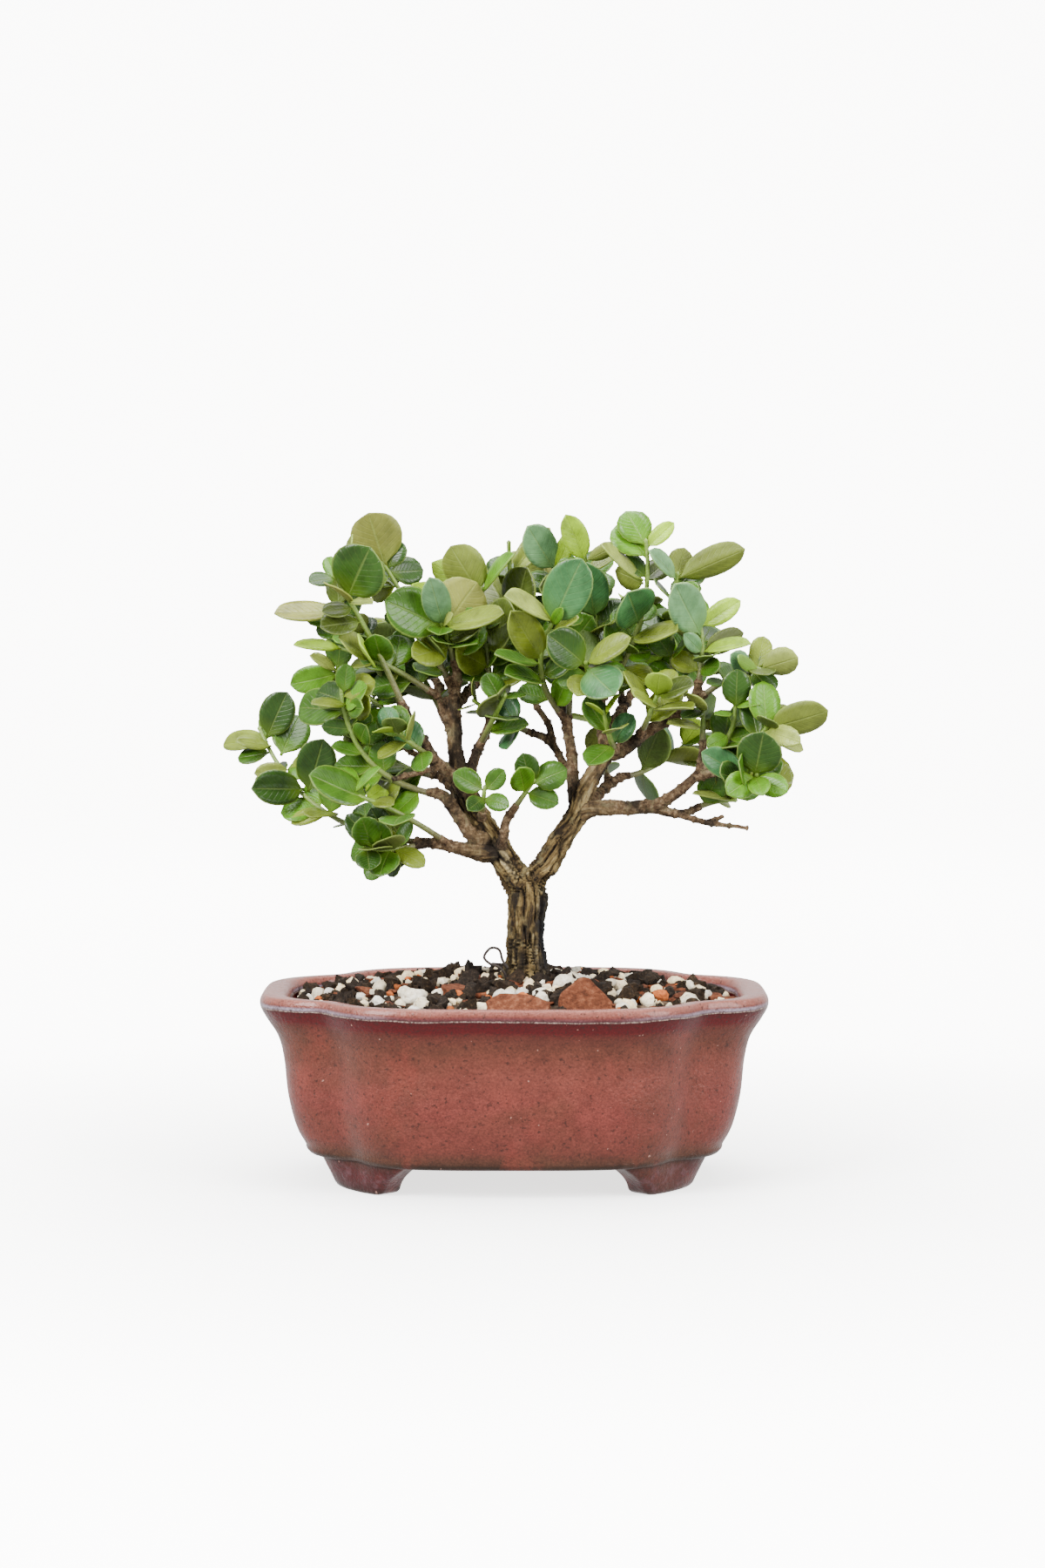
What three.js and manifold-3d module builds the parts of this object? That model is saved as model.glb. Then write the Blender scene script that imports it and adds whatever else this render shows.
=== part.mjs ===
// A natal plum grown as a bonsai, standing in a four-lobed glazed pot with bracket feet.
// Millimetres, +Z up, the origin on the surface under the middle of the pot.
// The plant is one woody piece, trunk to twigs, and a leafy green shoot stands on each twig end.

import * as THREE from 'three';
import { mergeVertices } from 'three/addons/utils/BufferGeometryUtils.js';
import Module from 'manifold-3d';

const wasm = await Module();
wasm.setup();

// Driving dimensions
const CLEARANCE = 0.3;
const FINEST_DETAIL = 0.04;

const POT_LENGTH = 155;
const POT_DEPTH = 106;
const POT_UNDERSIDE = 9.3;
const POT_FLOOR = 15.5;
const POT_SEGMENTS = 44;
const END_LOBE_WIDTH = 72;
const MIDDLE_LOBE_LENGTH = 116;
const LOBE_POWER = 4;
const LOBE_CREASE = 28;
const MIDDLE_SHRINK = 0.57;
const END_SHRINK = 0.33;
const DRAIN_RADIUS = 6;
const DRAIN_SIDES = 16;
const DRAIN_X = 30;

// The pot's section: inset from the rim's outline, and height.
const POT_OUTSIDE = [
  [17, POT_UNDERSIDE], [13.8, 11.6], [10.8, 17.5], [8.4, 27], [7.2, 38], [5.4, 45.2], [1.8, 51], [0, 55.2],
  [1.2, 57.6],
];
const POT_INSIDE = [[5, 58.2], [8.6, 55.4], [9.6, 50], [14.5, 31], [17, 20], [23, POT_FLOOR]];

// A foot: the angle to its middle and the angle it spans, at its top and at the surface, and how far
// from the middle of the pot the two ends of its lower edge stand, at the end lobe and at the front.
const FOOT = {
  topMiddle: 33.3, topSpan: 47.4, lowMiddle: 28.5, lowSpan: 25, topInset: 15.5, thickness: 8.4,
  lowAtEnd: 56.6, lowAtFront: 52.4,
};
const FOOT_SINK = 1;
const FOOT_FLARE = 1.6;

const SOIL_EDGE = 53.8;
const SOIL_CROWN = 61;
const SOIL_RINGS = [1, 0.72, 0.4];
const SOIL_RIM_INSET = 9.3;
const SOIL_WALL_GAP = 0.5;
const GRAIN_COUNT = 9;
const GRAIN_SIZE = [4.2, 7.4];

const SCREEN_SIZE = 22;
const SCREEN_THICKNESS = 1;
const SCREEN_HOLE = 4.2;
const SCREEN_PITCH = 6.4;

const SPUR_LENGTH = 3;
const SPUR_RADIUS = [1.5, 1.3];
const STEM_RADIUS = [1.2, 0.85];
const STEM_SIDES = 3;
const STEM_STEPS = 2;

const BLADE_THICKNESS = 0.6;
const BLADE_ROOT_OFFSET = 0.35;
const BLADE_FOLD = 0.22;
const BLADE_ROWS = [[0.3, 0.47], [0.76, 0.43]];
const BLADE_SWELL = 0.25;
const SHARED_ROOT = 0.2;
const LEAF_PAIR_TURN = 90;
const PAIRED_LEAF_SIZE = [0.88, 1.12];
const PAIRED_LEAF_RATIO = [0.7, 0.9];
const PAIRED_LEAF_LIFT = 0.6;

const PALETTE = {
  glaze: { color: 0x8a4038, roughness: 0.32, metalness: 0 },
  soil: { color: 0x6d6154, roughness: 0.95, metalness: 0 },
  screen: { color: 0x23262a, roughness: 0.6, metalness: 0 },
  bark: { color: 0x7d6a53, roughness: 0.9, metalness: 0 },
  leaf: { color: 0x4c7a3c, roughness: 0.38, metalness: 0 },
  barkChip: { color: 0x6b4a33, roughness: 0.9, metalness: 0 },
  pumice: { color: 0xd9d2c4, roughness: 0.95, metalness: 0 },
  clay: { color: 0xb9653a, roughness: 0.9, metalness: 0 },
};

// Limbs: the middle of the wood and its radius, from where each limb starts inside its parent.
const LIMBS = {
  trunk: [
    [3.5, 0, 45, 7.2], [3.6, 0, 60, 7.6], [3.6, 0, 64, 6.7], [3.6, 0, 69, 5.9],
    [3.6, 0, 77, 5.5], [3.9, 0, 85, 5.7], [3.8, 0, 89.5, 5.6], [3.8, 0, 93, 3.6],
  ],
  left: [
    [3.6, 0, 84, 4.6], [2.5, 0, 88.5, 4.9], [-1.5, 1, 95.6, 4.2], [-5.5, 2, 101.5, 4],
    [-10.3, 2, 109, 3.7], [-14.3, 3, 115.6, 3.4], [-16.7, 3, 123, 3], [-18, 3, 130, 2.4],
    [-18.4, 4, 137, 2.4], [-18.4, 4, 146.4, 2], [-17.5, 4, 154.5, 1.5],
  ],
  right: [
    [3.6, 0, 83, 4.4], [4.4, 0, 88, 4.5], [7, -1, 93, 3.8], [10.5, -1, 97, 3.4],
    [14.7, -2, 104.8, 3.2], [19.1, -2, 111.6, 3.2], [20.7, -1, 117.5, 3],
    [23.8, 0, 123.2, 2.6], [26.9, 0, 128.3, 2.6], [28.8, 0, 131.4, 3],
  ],
  left_low: [[-5, 1, 99.5, 2.8], [-11, -2, 100, 2.6], [-19, -4, 102, 1.9], [-26, -6, 103.3, 1.6]],
  left_mid: [[-7.5, 1, 104, 2.4], [-12.6, -3, 105, 2.2], [-16.8, -5, 111, 2], [-21.5, -6, 117.6, 1.9]],
  left_high: [
    [-14.5, 2, 117, 2.4], [-18.5, 0, 123, 2.1], [-24, -3, 128.2, 1.8],
    [-27.3, -4, 133.6, 1.6], [-30.4, -4, 138, 1.4], [-32.5, -4, 142.2, 1.3],
  ],
  left_stub: [[-23, -2.5, 127.3, 1.4], [-29.4, -6, 130, 1.1], [-35.5, -8, 133.6, 0.8]],
  left_spike: [[-22, -2, 126.3, 1.1], [-31, -9, 124.4, 0.9], [-37, -12, 123, 0.8]],
  left_inner: [
    [-15.5, 3, 119, 2], [-13, 4.5, 126, 1.8], [-11.3, 5, 131, 1.6], [-8.5, 6, 136.7, 1.4], [-6.8, 6, 143.5, 1.4],
  ],
  left_twig: [[-18.2, 4, 133, 1.4], [-20.4, 3.5, 138.4, 1.2], [-23.2, 3, 147.2, 1.1]],
  centre_twig: [[-5, 1, 100.5, 1.8], [-3.4, -3, 104, 1.6], [-2.8, -4, 109, 1.5], [-1.5, -4, 111.6, 1.4]],
  right_low: [
    [18, -2, 110.5, 2.8], [23.2, -3, 113.3, 2.5], [29.3, -4, 113.8, 2.3],
    [34.4, -5, 113.8, 2.2], [40, -5, 114.3, 2.1], [44, -6, 114, 2.1],
  ],
  right_rise: [
    [42.5, -5.8, 114.2, 2], [46.5, -7, 116.7, 1.8], [50.2, -8, 119.4, 1.7],
    [54, -8, 122.7, 1.6], [56.3, -8, 125, 1.7], [57.2, -8, 130.5, 1.3],
  ],
  right_reach: [[54.5, -8, 123.5, 1.5], [62, -11, 125.3, 1.4], [69.5, -14, 127, 1.2]],
  right_tip: [[43, -6, 114, 1.6], [48, -4, 112.2, 1.5], [53, -3, 112.5, 1.2]],
  right_dead: [[45, -6, 113.5, 1.3], [55.8, -8, 110.3, 1], [59.3, -8, 109.5, 1], [71.3, -9, 108, 0.6]],
  right_dead_fork: [[58.5, -8, 109.6, 0.9], [63.8, -6, 111.5, 0.7]],
  right_up: [
    [19.5, -1.5, 113, 2.5], [18, 2, 121.5, 2], [17.7, 4, 128.3, 1.8], [16.7, 5, 135.2, 1.7], [16.3, 5, 139.5, 1.6],
  ],
  right_fork: [
    [17.9, 3.5, 121, 1.6], [14.3, 7, 128.3, 1.3], [12.2, 8, 131.8, 1.3], [9.5, 8, 134.5, 1.3], [7, 8, 135.5, 1.2],
  ],
  right_inner: [[12.2, 8, 131.3, 1.2], [10.8, 7, 138, 1.1], [8.8, 7, 141.4, 1.1], [7, 7, 144, 1]],
  right_crown: [
    [28.5, 0, 130.5, 2.3], [27.9, 2, 133.6, 2.2], [27.4, 4, 137.3, 2.1], [26.9, 5, 142, 1.8], [26.6, 6, 146.4, 1.5],
  ],
  right_out: [
    [28.8, 0, 130.5, 2.4], [31.3, -2, 130.8, 2.3], [34.7, -3, 132.5, 2.1], [38, -4, 135.2, 1.9],
    [41.6, -4, 138, 1.9], [45, -5, 139.7, 1.8], [50.2, -5, 142.7, 1.6], [53, -5, 144.8, 1.4], [55.3, -5, 149, 1.3],
  ],
  back_left: [[-17.5, 3, 128, 2.2], [-20, 18, 140, 1.8], [-24, 32, 150, 1.4]],
  back_centre_left: [[-18.4, 4, 144, 1.8], [-14, 15, 149, 1.5], [-10, 25, 153, 1.2]],
  back_right: [[27.6, 3, 135, 2], [33, 15, 142, 1.7], [37, 26, 148, 1.3]],
  back_centre_right: [[16.6, 5, 136, 1.6], [15, 16, 143, 1.4], [13, 27, 149, 1.2]],
  back_low_left: [[-12, 3, 112, 2.2], [-17, 16, 116, 1.8], [-23, 29, 121, 1.4]],
  back_low_right: [[20, -1, 113, 2.2], [26, 13, 117, 1.8], [33, 27, 121, 1.4]],
};
const LIMB_SIDES = [[5, 9], [2.8, 6], [1.9, 5], [0, 4]];

// The way a leaf's upper face is turned: to the front, away, up, to the left, or between.
const FACING = {
  front: [0, -1, 0.35],
  away: [0, 1, 0.35],
  up: [0, -0.6, 0.8],
  slant: [0, -1, 1],
  left: [-1, -0.2, 0.2],
};

// Shoots with leaves set by hand: the limb and the place on it, the tip, how far the middle of
// the stem stands off a straight line, and the leaves. A leaf is its place along the stem,
// the point that its tip reaches, the way it faces and its width over its length.
const SET_SHOOTS = [
  ['far_left', 'left_low', 3, [-80, 28, 136], [-6, 0, -8], [
    [0.95, [-71, 24, 148], 'front', 0.72], [0.84, [-68, 30, 140], 'front', 0.7],
    [0.93, [-92, 34, 131], 'slant', 0.5], [0.9, [-87, 20, 133], 'slant', 0.5],
    [0.76, [-81, 16, 123], 'front', 0.5], [0.76, [-64, 18, 129], 'up', 0.5],
    [0.64, [-81, 6, 119], 'front', 0.62], [0.62, [-59, 10, 134], 'front', 0.7],
    [0.48, [-69, 8, 108], 'slant', 0.5], [0.46, [-62, -6, 111], 'up', 0.6],
  ]],
  ['low_left', 'left_low', 2, [-49, -15, 119], [0, -5, 2], [
    [0.82, [-61.5, -20, 125], 'slant', 0.66], [0.98, [-40, -19, 127], 'left', 0.5],
    [0.8, [-36, -21, 116], 'up', 0.6], [0.85, [-40, -6, 120], 'front', 0.7], [0.97, [-53, -10, 126], 'front', 0.6],
  ]],
  ['low_left_end', 'left_low', 3, [-45, -12, 102], [0, 0, -1], [
    [0.98, [-43.5, -19, 96], 'front', 0.9], [0.9, [-46, -17, 112], 'front', 0.8],
    [0.82, [-51, -8, 112], 'front', 0.55], [0.55, [-27, -16, 97], 'slant', 0.55],
    [0.5, [-31, -13, 110], 'up', 0.6],
  ]],
  ['left_fan', 'left_mid', 3, [-52.5, -8, 151], [-7, 0, -6], [
    [0.96, [-50.5, -10, 158], 'front', 0.7], [0.8, [-43.5, -14, 148], 'front', 0.8],
    [0.86, [-45, -19, 145], 'left', 0.4], [0.9, [-60, 0, 149], 'front', 0.8],
    [0.88, [-61, -16, 146], 'up', 0.5], [0.84, [-66, 5, 144], 'front', 0.6],
    [0.72, [-58.5, -5, 139], 'front', 0.55], [0.64, [-44.5, -16, 139.5], 'front', 0.75],
    [0.62, [-40, -3, 139], 'front', 0.75], [0.56, [-55.5, -9, 133], 'slant', 0.5],
  ]],
  ['tall_left', 'left_high', 5, [-54, -10, 184], [0, 0, 2], [
    [0.84, [-43, -17, 193], 'front', 0.98], [0.8, [-56, -21, 182], 'up', 0.6],
    [0.8, [-42.5, -19, 176], 'up', 0.6], [0.9, [-49, -5, 197], 'left', 0.5], [0.97, [-57, -3, 190], 'front', 0.5],
  ]],
  ['left_point', 'left_high', 3.5, [-54.5, 1, 175], [0, 5, 0], [
    [0.97, [-73, -3, 173], 'up', 0.55], [0.98, [-54, 3, 186], 'front', 0.65], [0.8, [-45, 8, 172], 'away', 0.7],
  ]],
  ['round_left', 'left', 9.2, [-40, 4.5, 188], [-1, 0, 3], [
    [0.98, [-44.5, 1, 203.5], 'away', 0.94], [0.92, [-28, 9, 186], 'front', 0.85],
    [0.8, [-44, 10, 178], 'front', 0.7], [0.6, [-26, 12, 176], 'front', 0.8],
  ]],
  ['left_out', 'left_twig', 2, [-53, -2, 162.5], [0, -4, 2], [
    [0.98, [-67, -6, 163.5], 'up', 0.45], [0.7, [-53, -12, 166], 'slant', 0.72],
    [0.68, [-48, -18, 161], 'front', 0.6], [0.6, [-50, 6, 157], 'up', 0.6], [0.45, [-35, 8, 166], 'front', 0.7],
    [0.4, [-38, -9, 151], 'slant', 0.7],
  ]],
  ['left_crown', 'left', 10, [-22, -4, 169.5], [0, 0, 1], [
    [0.96, [-39, -12, 177], 'front', 0.76], [0.98, [-25.5, -10, 184], 'front', 0.5],
    [0.94, [-31, -3, 182], 'front', 0.7], [0.98, [-3, -13, 173], 'up', 0.5],
    [0.9, [-11.5, 5, 182.5], 'away', 0.96], [0.98, [-16.5, -13, 176], 'left', 0.45],
    [0.55, [-11, -10, 164], 'slant', 0.6], [0.5, [-31, -8, 160], 'front', 0.75],
  ]],
  ['centre_left', 'left_inner', 4, [-10, 6, 180], [0, 2, 0], [
    [0.97, [-19.5, 4, 193.5], 'away', 0.75], [0.98, [0, 1, 191], 'left', 0.5],
    [0.93, [-25.5, 12, 188.5], 'away', 0.45], [0.62, [-3, -7, 175], 'front', 0.92],
    [0.35, [-18, -1, 162], 'front', 0.8],
  ]],
  ['centre_top', 'right_inner', 3, [-1.7, 4, 194], [-2, 1, 0], [
    [0.8, [-12, 0, 198], 'front', 0.42], [0.82, [11, 8, 199], 'front', 0.42],
    [0.66, [4, 14, 192], 'away', 0.85], [0.55, [4, -9, 186], 'up', 0.8],
    [0.42, [-1, -7, 184], 'front', 0.8], [0.4, [10, 1, 184], 'front', 0.6],
    [0.5, [-10, 15, 186], 'front', 0.65], [0.25, [-8, -2, 166], 'up', 0.7],
  ]],
  ['hero', 'right_up', 4, [12, -12, 171], [-6, -2, 0], [
    [0.97, [20.3, -21, 189.5], 'front', 0.62], [0.98, [-3, -22, 178.5], 'up', 0.5],
    [0.98, [10, -17, 177], 'front', 0.5], [0.96, [14.6, -17, 175], 'front', 0.45],
    [0.9, [19.5, -16, 172], 'up', 0.5], [0.62, [-1, -18, 174], 'front', 0.5],
    [0.58, [-6, -16, 161], 'up', 0.45], [0.4, [-3, -14, 155], 'up', 0.55],
  ]],
  ['centre_right', 'right_crown', 4, [21.6, -12, 158], [-1, -2, 1], [
    [0.97, [10, -19, 167], 'front', 0.74], [0.96, [35, -17, 166], 'slant', 0.5],
    [0.88, [21, -1, 168], 'away', 0.7], [0.86, [30, -23, 149], 'front', 0.8], [0.7, [13, -8, 152], 'front', 0.7],
    [0.5, [34, -6, 156], 'slant', 0.7],
  ]],
  ['top_left', 'right_up', 3.4, [12.3, 7, 187.5], [2, 4, 0], [
    [0.98, [4, 2, 199.5], 'front', 0.62], [0.98, [18, 0, 198], 'front', 0.45],
    [0.86, [5, 14, 192], 'away', 0.7], [0.8, [7.5, -3, 181], 'front', 0.8],
    [0.5, [24, 2, 172], 'front', 0.8],
  ]],
  ['top_right', 'right_crown', 3.5, [21.6, 3, 190], [1, 3, 0], [
    [0.98, [15.6, -2, 203], 'front', 0.5], [0.98, [31.5, 0, 194], 'away', 0.45],
    [0.9, [30, 9, 190], 'up', 0.5], [0.9, [13, 4, 188], 'front', 0.62],
    [0.6, [22, -5, 188.5], 'front', 0.55], [0.3, [16, -4, 160], 'slant', 0.8],
  ]],
  ['right_tall', 'right_crown', 4, [40, -4, 194.5], [5, -2, 0], [
    [0.98, [34, 2, 204], 'front', 0.8], [0.97, [48.5, 0, 200.5], 'front', 0.5],
    [0.76, [26, -11, 194], 'up', 0.45], [0.76, [46, 5, 188], 'front', 0.7],
    [0.74, [31, 8, 186], 'away', 0.65], [0.5, [34, -15, 179.5], 'front', 0.9],
    [0.4, [49, -16, 168], 'slant', 0.5], [0.28, [42, 4, 161], 'front', 0.7], [0.2, [43, -13, 155], 'slant', 0.6],
  ]],
  ['right_slant', 'right_out', 6, [49.7, 0, 184.5], [-2, 4, 0], [
    [0.97, [35, -10, 198], 'slant', 0.5], [0.97, [52, 8, 193], 'away', 0.8],
    [0.98, [70, -4, 192.5], 'away', 0.42], [0.9, [56, -7, 180], 'front', 0.6],
    [0.6, [60, 6, 172], 'away', 0.75], [0.4, [42, 2, 168], 'front', 0.8],
  ]],
  ['right_upper', 'right_out', 8, [56.5, -6, 169.5], [1, 0, 0], [
    [0.86, [46, -15, 179], 'front', 0.58], [0.98, [68.5, -8, 177], 'front', 0.5],
    [0.98, [54, 3, 178], 'front', 0.7], [0.6, [51, -11, 167], 'front', 0.55],
    [0.62, [70, 1, 167], 'away', 0.5], [0.6, [71.5, -11, 164], 'up', 0.45],
    [0.35, [62, -16, 157], 'front', 0.55], [0.32, [48, 2, 160], 'front', 0.7],
  ]],
  ['right_arch', 'right_out', 7, [75, -10, 156], [3, 0, 4], [
    [0.96, [85.5, -14, 160], 'away', 0.75], [0.88, [76, -3, 166], 'front', 0.6],
    [0.72, [65, -15, 161], 'front', 0.7], [0.94, [67, -19, 160], 'left', 0.4],
    [0.6, [68, 2, 148], 'up', 0.7], [0.4, [58, -16, 152], 'slant', 0.6],
  ]],
  ['right_mid', 'right_rise', 4, [66.5, -14, 145.5], [3, -1, 0], [
    [0.97, [67, -17, 156.5], 'front', 0.76], [0.97, [74, -19, 146], 'up', 0.5],
    [0.88, [60, -19, 143], 'up', 0.45], [0.55, [58, -18, 133], 'front', 0.6],
  ]],
  ['right_short', 'right_rise', 5, [57.4, -5, 143.5], [0, 0, 0], [
    [0.96, [50.5, -14, 141.5], 'up', 0.5], [0.6, [46, -8, 140], 'up', 0.45],
    [0.55, [62, -1, 140.5], 'front', 0.6], [0.97, [53, -14, 149], 'up', 0.45], [0.9, [62, 6, 147], 'away', 0.7],
  ]],
  ['right_far', 'right_reach', 2, [76, -20, 139.5], [0, 0, 1], [
    [0.97, [93.5, -26, 144.5], 'away', 0.56], [0.86, [85, -30, 135], 'front', 0.5],
    [0.8, [87, -16, 132], 'up', 0.45], [0.6, [71, -12, 147.5], 'front', 0.62], [0.55, [84, -10, 138], 'away', 0.6],
  ]],
  ['right_round', 'right_reach', 1.6, [72, -26, 125], [0, -1, -2], [
    [0.97, [74, -31, 138.5], 'front', 0.95], [0.97, [81, -32, 120.5], 'front', 0.66],
    [0.97, [63, -34, 120], 'front', 0.7], [0.97, [71.5, -34, 117], 'front', 0.55],
    [0.55, [56, -23, 132], 'front', 0.55], [0.5, [61, -27, 126], 'front', 0.7], [0.3, [61.5, -18, 139], 'front', 0.7],
  ]],
  ['right_low_tip', 'right_tip', 2, [67, -2, 116], [0, 0, 1], [
    [0.95, [54, -9, 118.5], 'up', 0.35], [0.3, [49, -14, 124], 'left', 0.4], [0.9, [72, -9, 121], 'slant', 0.6],
  ]],
  ['centre_front', 'centre_twig', 3, [5.7, -8, 122], [0, 0, 0], [
    [0.96, [2.5, -12, 131], 'front', 0.75], [0.96, [16, -10, 126], 'front', 0.8],
    [0.7, [13.5, -14, 115.5], 'front', 0.7], [0.7, [-0.5, -15, 124], 'front', 0.6],
  ]],
  ['centre_low', 'left', 4, [-9, -10, 120], [0, -3, 0], [
    [0.96, [-3, -12, 126], 'front', 0.7], [0.96, [-18.5, -12, 125], 'front', 0.7],
    [0.75, [-1.5, -15, 115], 'front', 0.6], [0.75, [-14, -17, 114], 'front', 0.6],
  ]],
  ['left_pale', 'left_high', 3, [-55.5, 10, 155.5], [0, 2, 0], [
    [0.97, [-63, 7, 160], 'up', 0.5], [0.95, [-67, 4, 154], 'front', 0.6],
    [0.85, [-61, 12, 148], 'away', 0.7], [0.5, [-45, 12, 144], 'front', 0.8],
  ]],
];

// Shoots whose leaves stand in crossed pairs: the limb and the place on it, the tip, the stand-off,
// how many pairs, how long the leaves are, and the turn of the first pair.
const PAIRED_SHOOTS = [
  ['left_inside', 'left_twig', 1.2, [-31, 14, 158], [0, 2, 0], 3, 12, 20],
  ['left_front', 'left_high', 2, [-36, -16, 138], [0, -3, 0], 3, 12, 70],
  ['middle_left', 'right_fork', 4, [-12, 1, 146], [0, 0, -1], 3, 11, 40],
  ['middle_front', 'left_inner', 2, [-3, -11, 148], [0, -2, 0], 3, 12, 10],
  ['middle_right', 'right_out', 1, [27, -16, 143], [0, -2, -2], 3, 12, 30],
  ['outer_front', 'right_out', 3, [43, -18, 149], [0, -3, 0], 3, 14, 60],
  ['back_left_a', 'back_left', 2, [-42, 43, 160], [0, 0, 3], 3, 14, 15],
  ['back_left_b', 'back_left', 1.2, [-23, 40, 174], [2, 2, 0], 2, 14, 50],
  ['back_centre_a', 'back_centre_left', 2, [-4, 42, 172], [0, 3, 0], 3, 14, 0],
  ['back_centre_c', 'back_centre_right', 2, [12, 44, 168], [0, 2, -2], 2, 14, 35],
  ['back_centre_d', 'back_centre_right', 1.5, [20, 30, 184], [0, 3, 0], 3, 14, 65],
  ['back_right_a', 'back_right', 2, [57, 37, 160], [0, 0, 3], 3, 14, 20],
  ['back_right_b', 'back_right', 1.2, [38, 40, 174], [-2, 2, 0], 2, 14, 55],
  ['back_low_a', 'back_low_left', 2, [-44, 40, 130], [0, 0, -2], 2, 14, 40],
  ['back_low_c', 'back_low_right', 2, [54, 36, 131], [0, 0, -2], 3, 14, 45],
  ['back_low_d', 'back_low_right', 1.5, [26, 45, 138], [0, 2, 0], 2, 13, 75],
];
const PAIR_SPREAD = [0.34, 0.97];
const PAIR_OPENING = [68, 46];
const OPENING_DRIFT = 14;
const TURN_DRIFT = 18;
const TIP_SHRINK = 0.3;

// Where a leaf would cross another shoot, it bends to the first of these that is clear:
// a shift of its tip, and a share of its length.
const LEAF_BENDS = [
  [[0, 0, 0], 1], [[0, -4, 0], 1], [[0, 4, 0], 1], [[2, -3, 3], 1], [[-2, 3, -3], 1], [[0, -8, 1], 1],
  [[0, 8, 1], 1], [[-4, 0, 3], 1], [[4, 0, -3], 1], [[0, -3, 2], 0.8], [[0, 3, -2], 0.8], [[0, 0, 5], 0.8],
  [[4, 4, 0], 0.7], [[-4, -4, 0], 0.7], [[0, 0, 0], 0.6],
];

// Outlines of the flat chips, in shares of their length and width, and loose pieces in the top of the soil:
// name, kind, place, length, width, height, turn, tilt and outline.
const SLAB = [
  [-0.36, -0.5], [0.4, -0.5], [0.5, -0.02], [0.3, 0.2], [0.1, 0.48], [-0.06, 0.5], [-0.42, 0.2], [-0.48, 0],
];
const CHIP = [[-0.42, -0.38], [0.1, -0.5], [0.44, -0.34], [0.5, 0.08], [0.22, 0.46], [-0.28, 0.5], [-0.5, 0.14]];
const LOOSE = [
  ['chip_front', 'barkChip', 21, -35.5, 17, 15.6, 3.4, 8, 68, SLAB],
  ['chip_long', 'barkChip', 1, -38, 20, 9, 3.2, -4, 42, CHIP],
  ['chip_left', 'barkChip', -18, -22, 9, 7, 3.6, 30, 10, CHIP],
  ['stone_trunk', 'pumice', 15, -13, 7, 6.4, 6.2, 20, 0],
  ['stone_front', 'pumice', 8.6, -30.2, 5.4, 5, 5, 50, 0],
  ['stone_left', 'pumice', -30, -25, 8, 7, 5.6, 10, 0],
  ['clay_front', 'clay', 2.6, -30.2, 5.4, 4.6, 4.6, 0, 0],
  ['clay_right', 'clay', 44, -17, 5.6, 5, 4.2, 35, 0],
];
const LOOSE_SINK = 0.42;

// Numbers drawn from whole-number seeds, the same on every run
function draw(seed) {
  let a = (seed + 0x6d2b79f5) >>> 0;
  let t = Math.imul(a ^ (a >>> 15), a | 1);
  t ^= t + Math.imul(t ^ (t >>> 7), t | 61);
  return ((t ^ (t >>> 14)) >>> 0) / 4294967296;
}

const mix = (from, to, share) => from + (to - from) * share;
const radians = (degrees) => (degrees * Math.PI) / 180;
const vector = (numbers) => new THREE.Vector3(...numbers);

// From a closed geometry to a solid and back
function solidOf(geometry) {
  const bare = geometry.clone();
  bare.deleteAttribute('normal');
  bare.deleteAttribute('uv');
  const merged = mergeVertices(bare, 1e-3);
  return new wasm.Manifold(new wasm.Mesh({
    numProp: 3,
    vertProperties: Float32Array.from(merged.attributes.position.array),
    triVerts: Uint32Array.from(merged.index.array),
  }));
}

function largestBody(solid) {
  const bodies = solid.simplify(FINEST_DETAIL).decompose();
  return bodies.sort((a, b) => b.volume() - a.volume())[0];
}

function meshOf(name, solid, finish) {
  const source = largestBody(solid).getMesh();
  const geometry = new THREE.BufferGeometry();
  geometry.setAttribute('position', new THREE.BufferAttribute(Float32Array.from(source.vertProperties), 3));
  geometry.setIndex(Array.from(source.triVerts));
  geometry.computeVertexNormals();
  const mesh = new THREE.Mesh(geometry, new THREE.MeshStandardMaterial(PALETTE[finish]));
  mesh.name = name;
  return mesh;
}

// A body turned from rows of points: place(row, angle) gives each point, and the first and the
// last row are the ends of its axis.
function turnedGeometry(rows, segments, place) {
  const profile = rows.map((row, index) => new THREE.Vector2(index % (rows.length - 1) === 0 ? 0 : 1, index));
  const geometry = new THREE.LatheGeometry(profile, segments);
  const position = geometry.attributes.position;
  for (let i = 0; i <= segments; i++) {
    const angle = (2 * Math.PI * (i % segments)) / segments;
    rows.forEach((row, j) => {
      const point = place(row, angle);
      position.setXYZ(i * rows.length + j, point.x, point.y, point.z);
    });
  }
  return geometry;
}

// A round bar through a list of points, with a radius at each
function barGeometry(points, radii, sides) {
  const last = points.length - 1;
  const chord = points[last].clone().sub(points[0]);
  const axes = [[1, 0, 0], [0, 1, 0], [0, 0, 1]].map(vector);
  const reference = axes.sort((a, b) => Math.abs(a.dot(chord)) - Math.abs(b.dot(chord)))[0];
  const geometry = new THREE.CylinderGeometry(1, 1, 1, sides, last);
  const position = geometry.attributes.position;
  for (let i = 0; i < position.count; i++) {
    const row = Math.round((position.getY(i) + 0.5) * last);
    const along = points[Math.min(row + 1, last)].clone().sub(points[Math.max(row - 1, 0)]).normalize();
    const across = reference.clone().cross(along).normalize();
    const outward = across.clone().cross(along);
    const point = points[row].clone();
    point.addScaledVector(across, position.getX(i) * radii[row]);
    point.addScaledVector(outward, position.getZ(i) * radii[row]);
    position.setXYZ(i, point.x, point.y, point.z);
  }
  return geometry;
}

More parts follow.
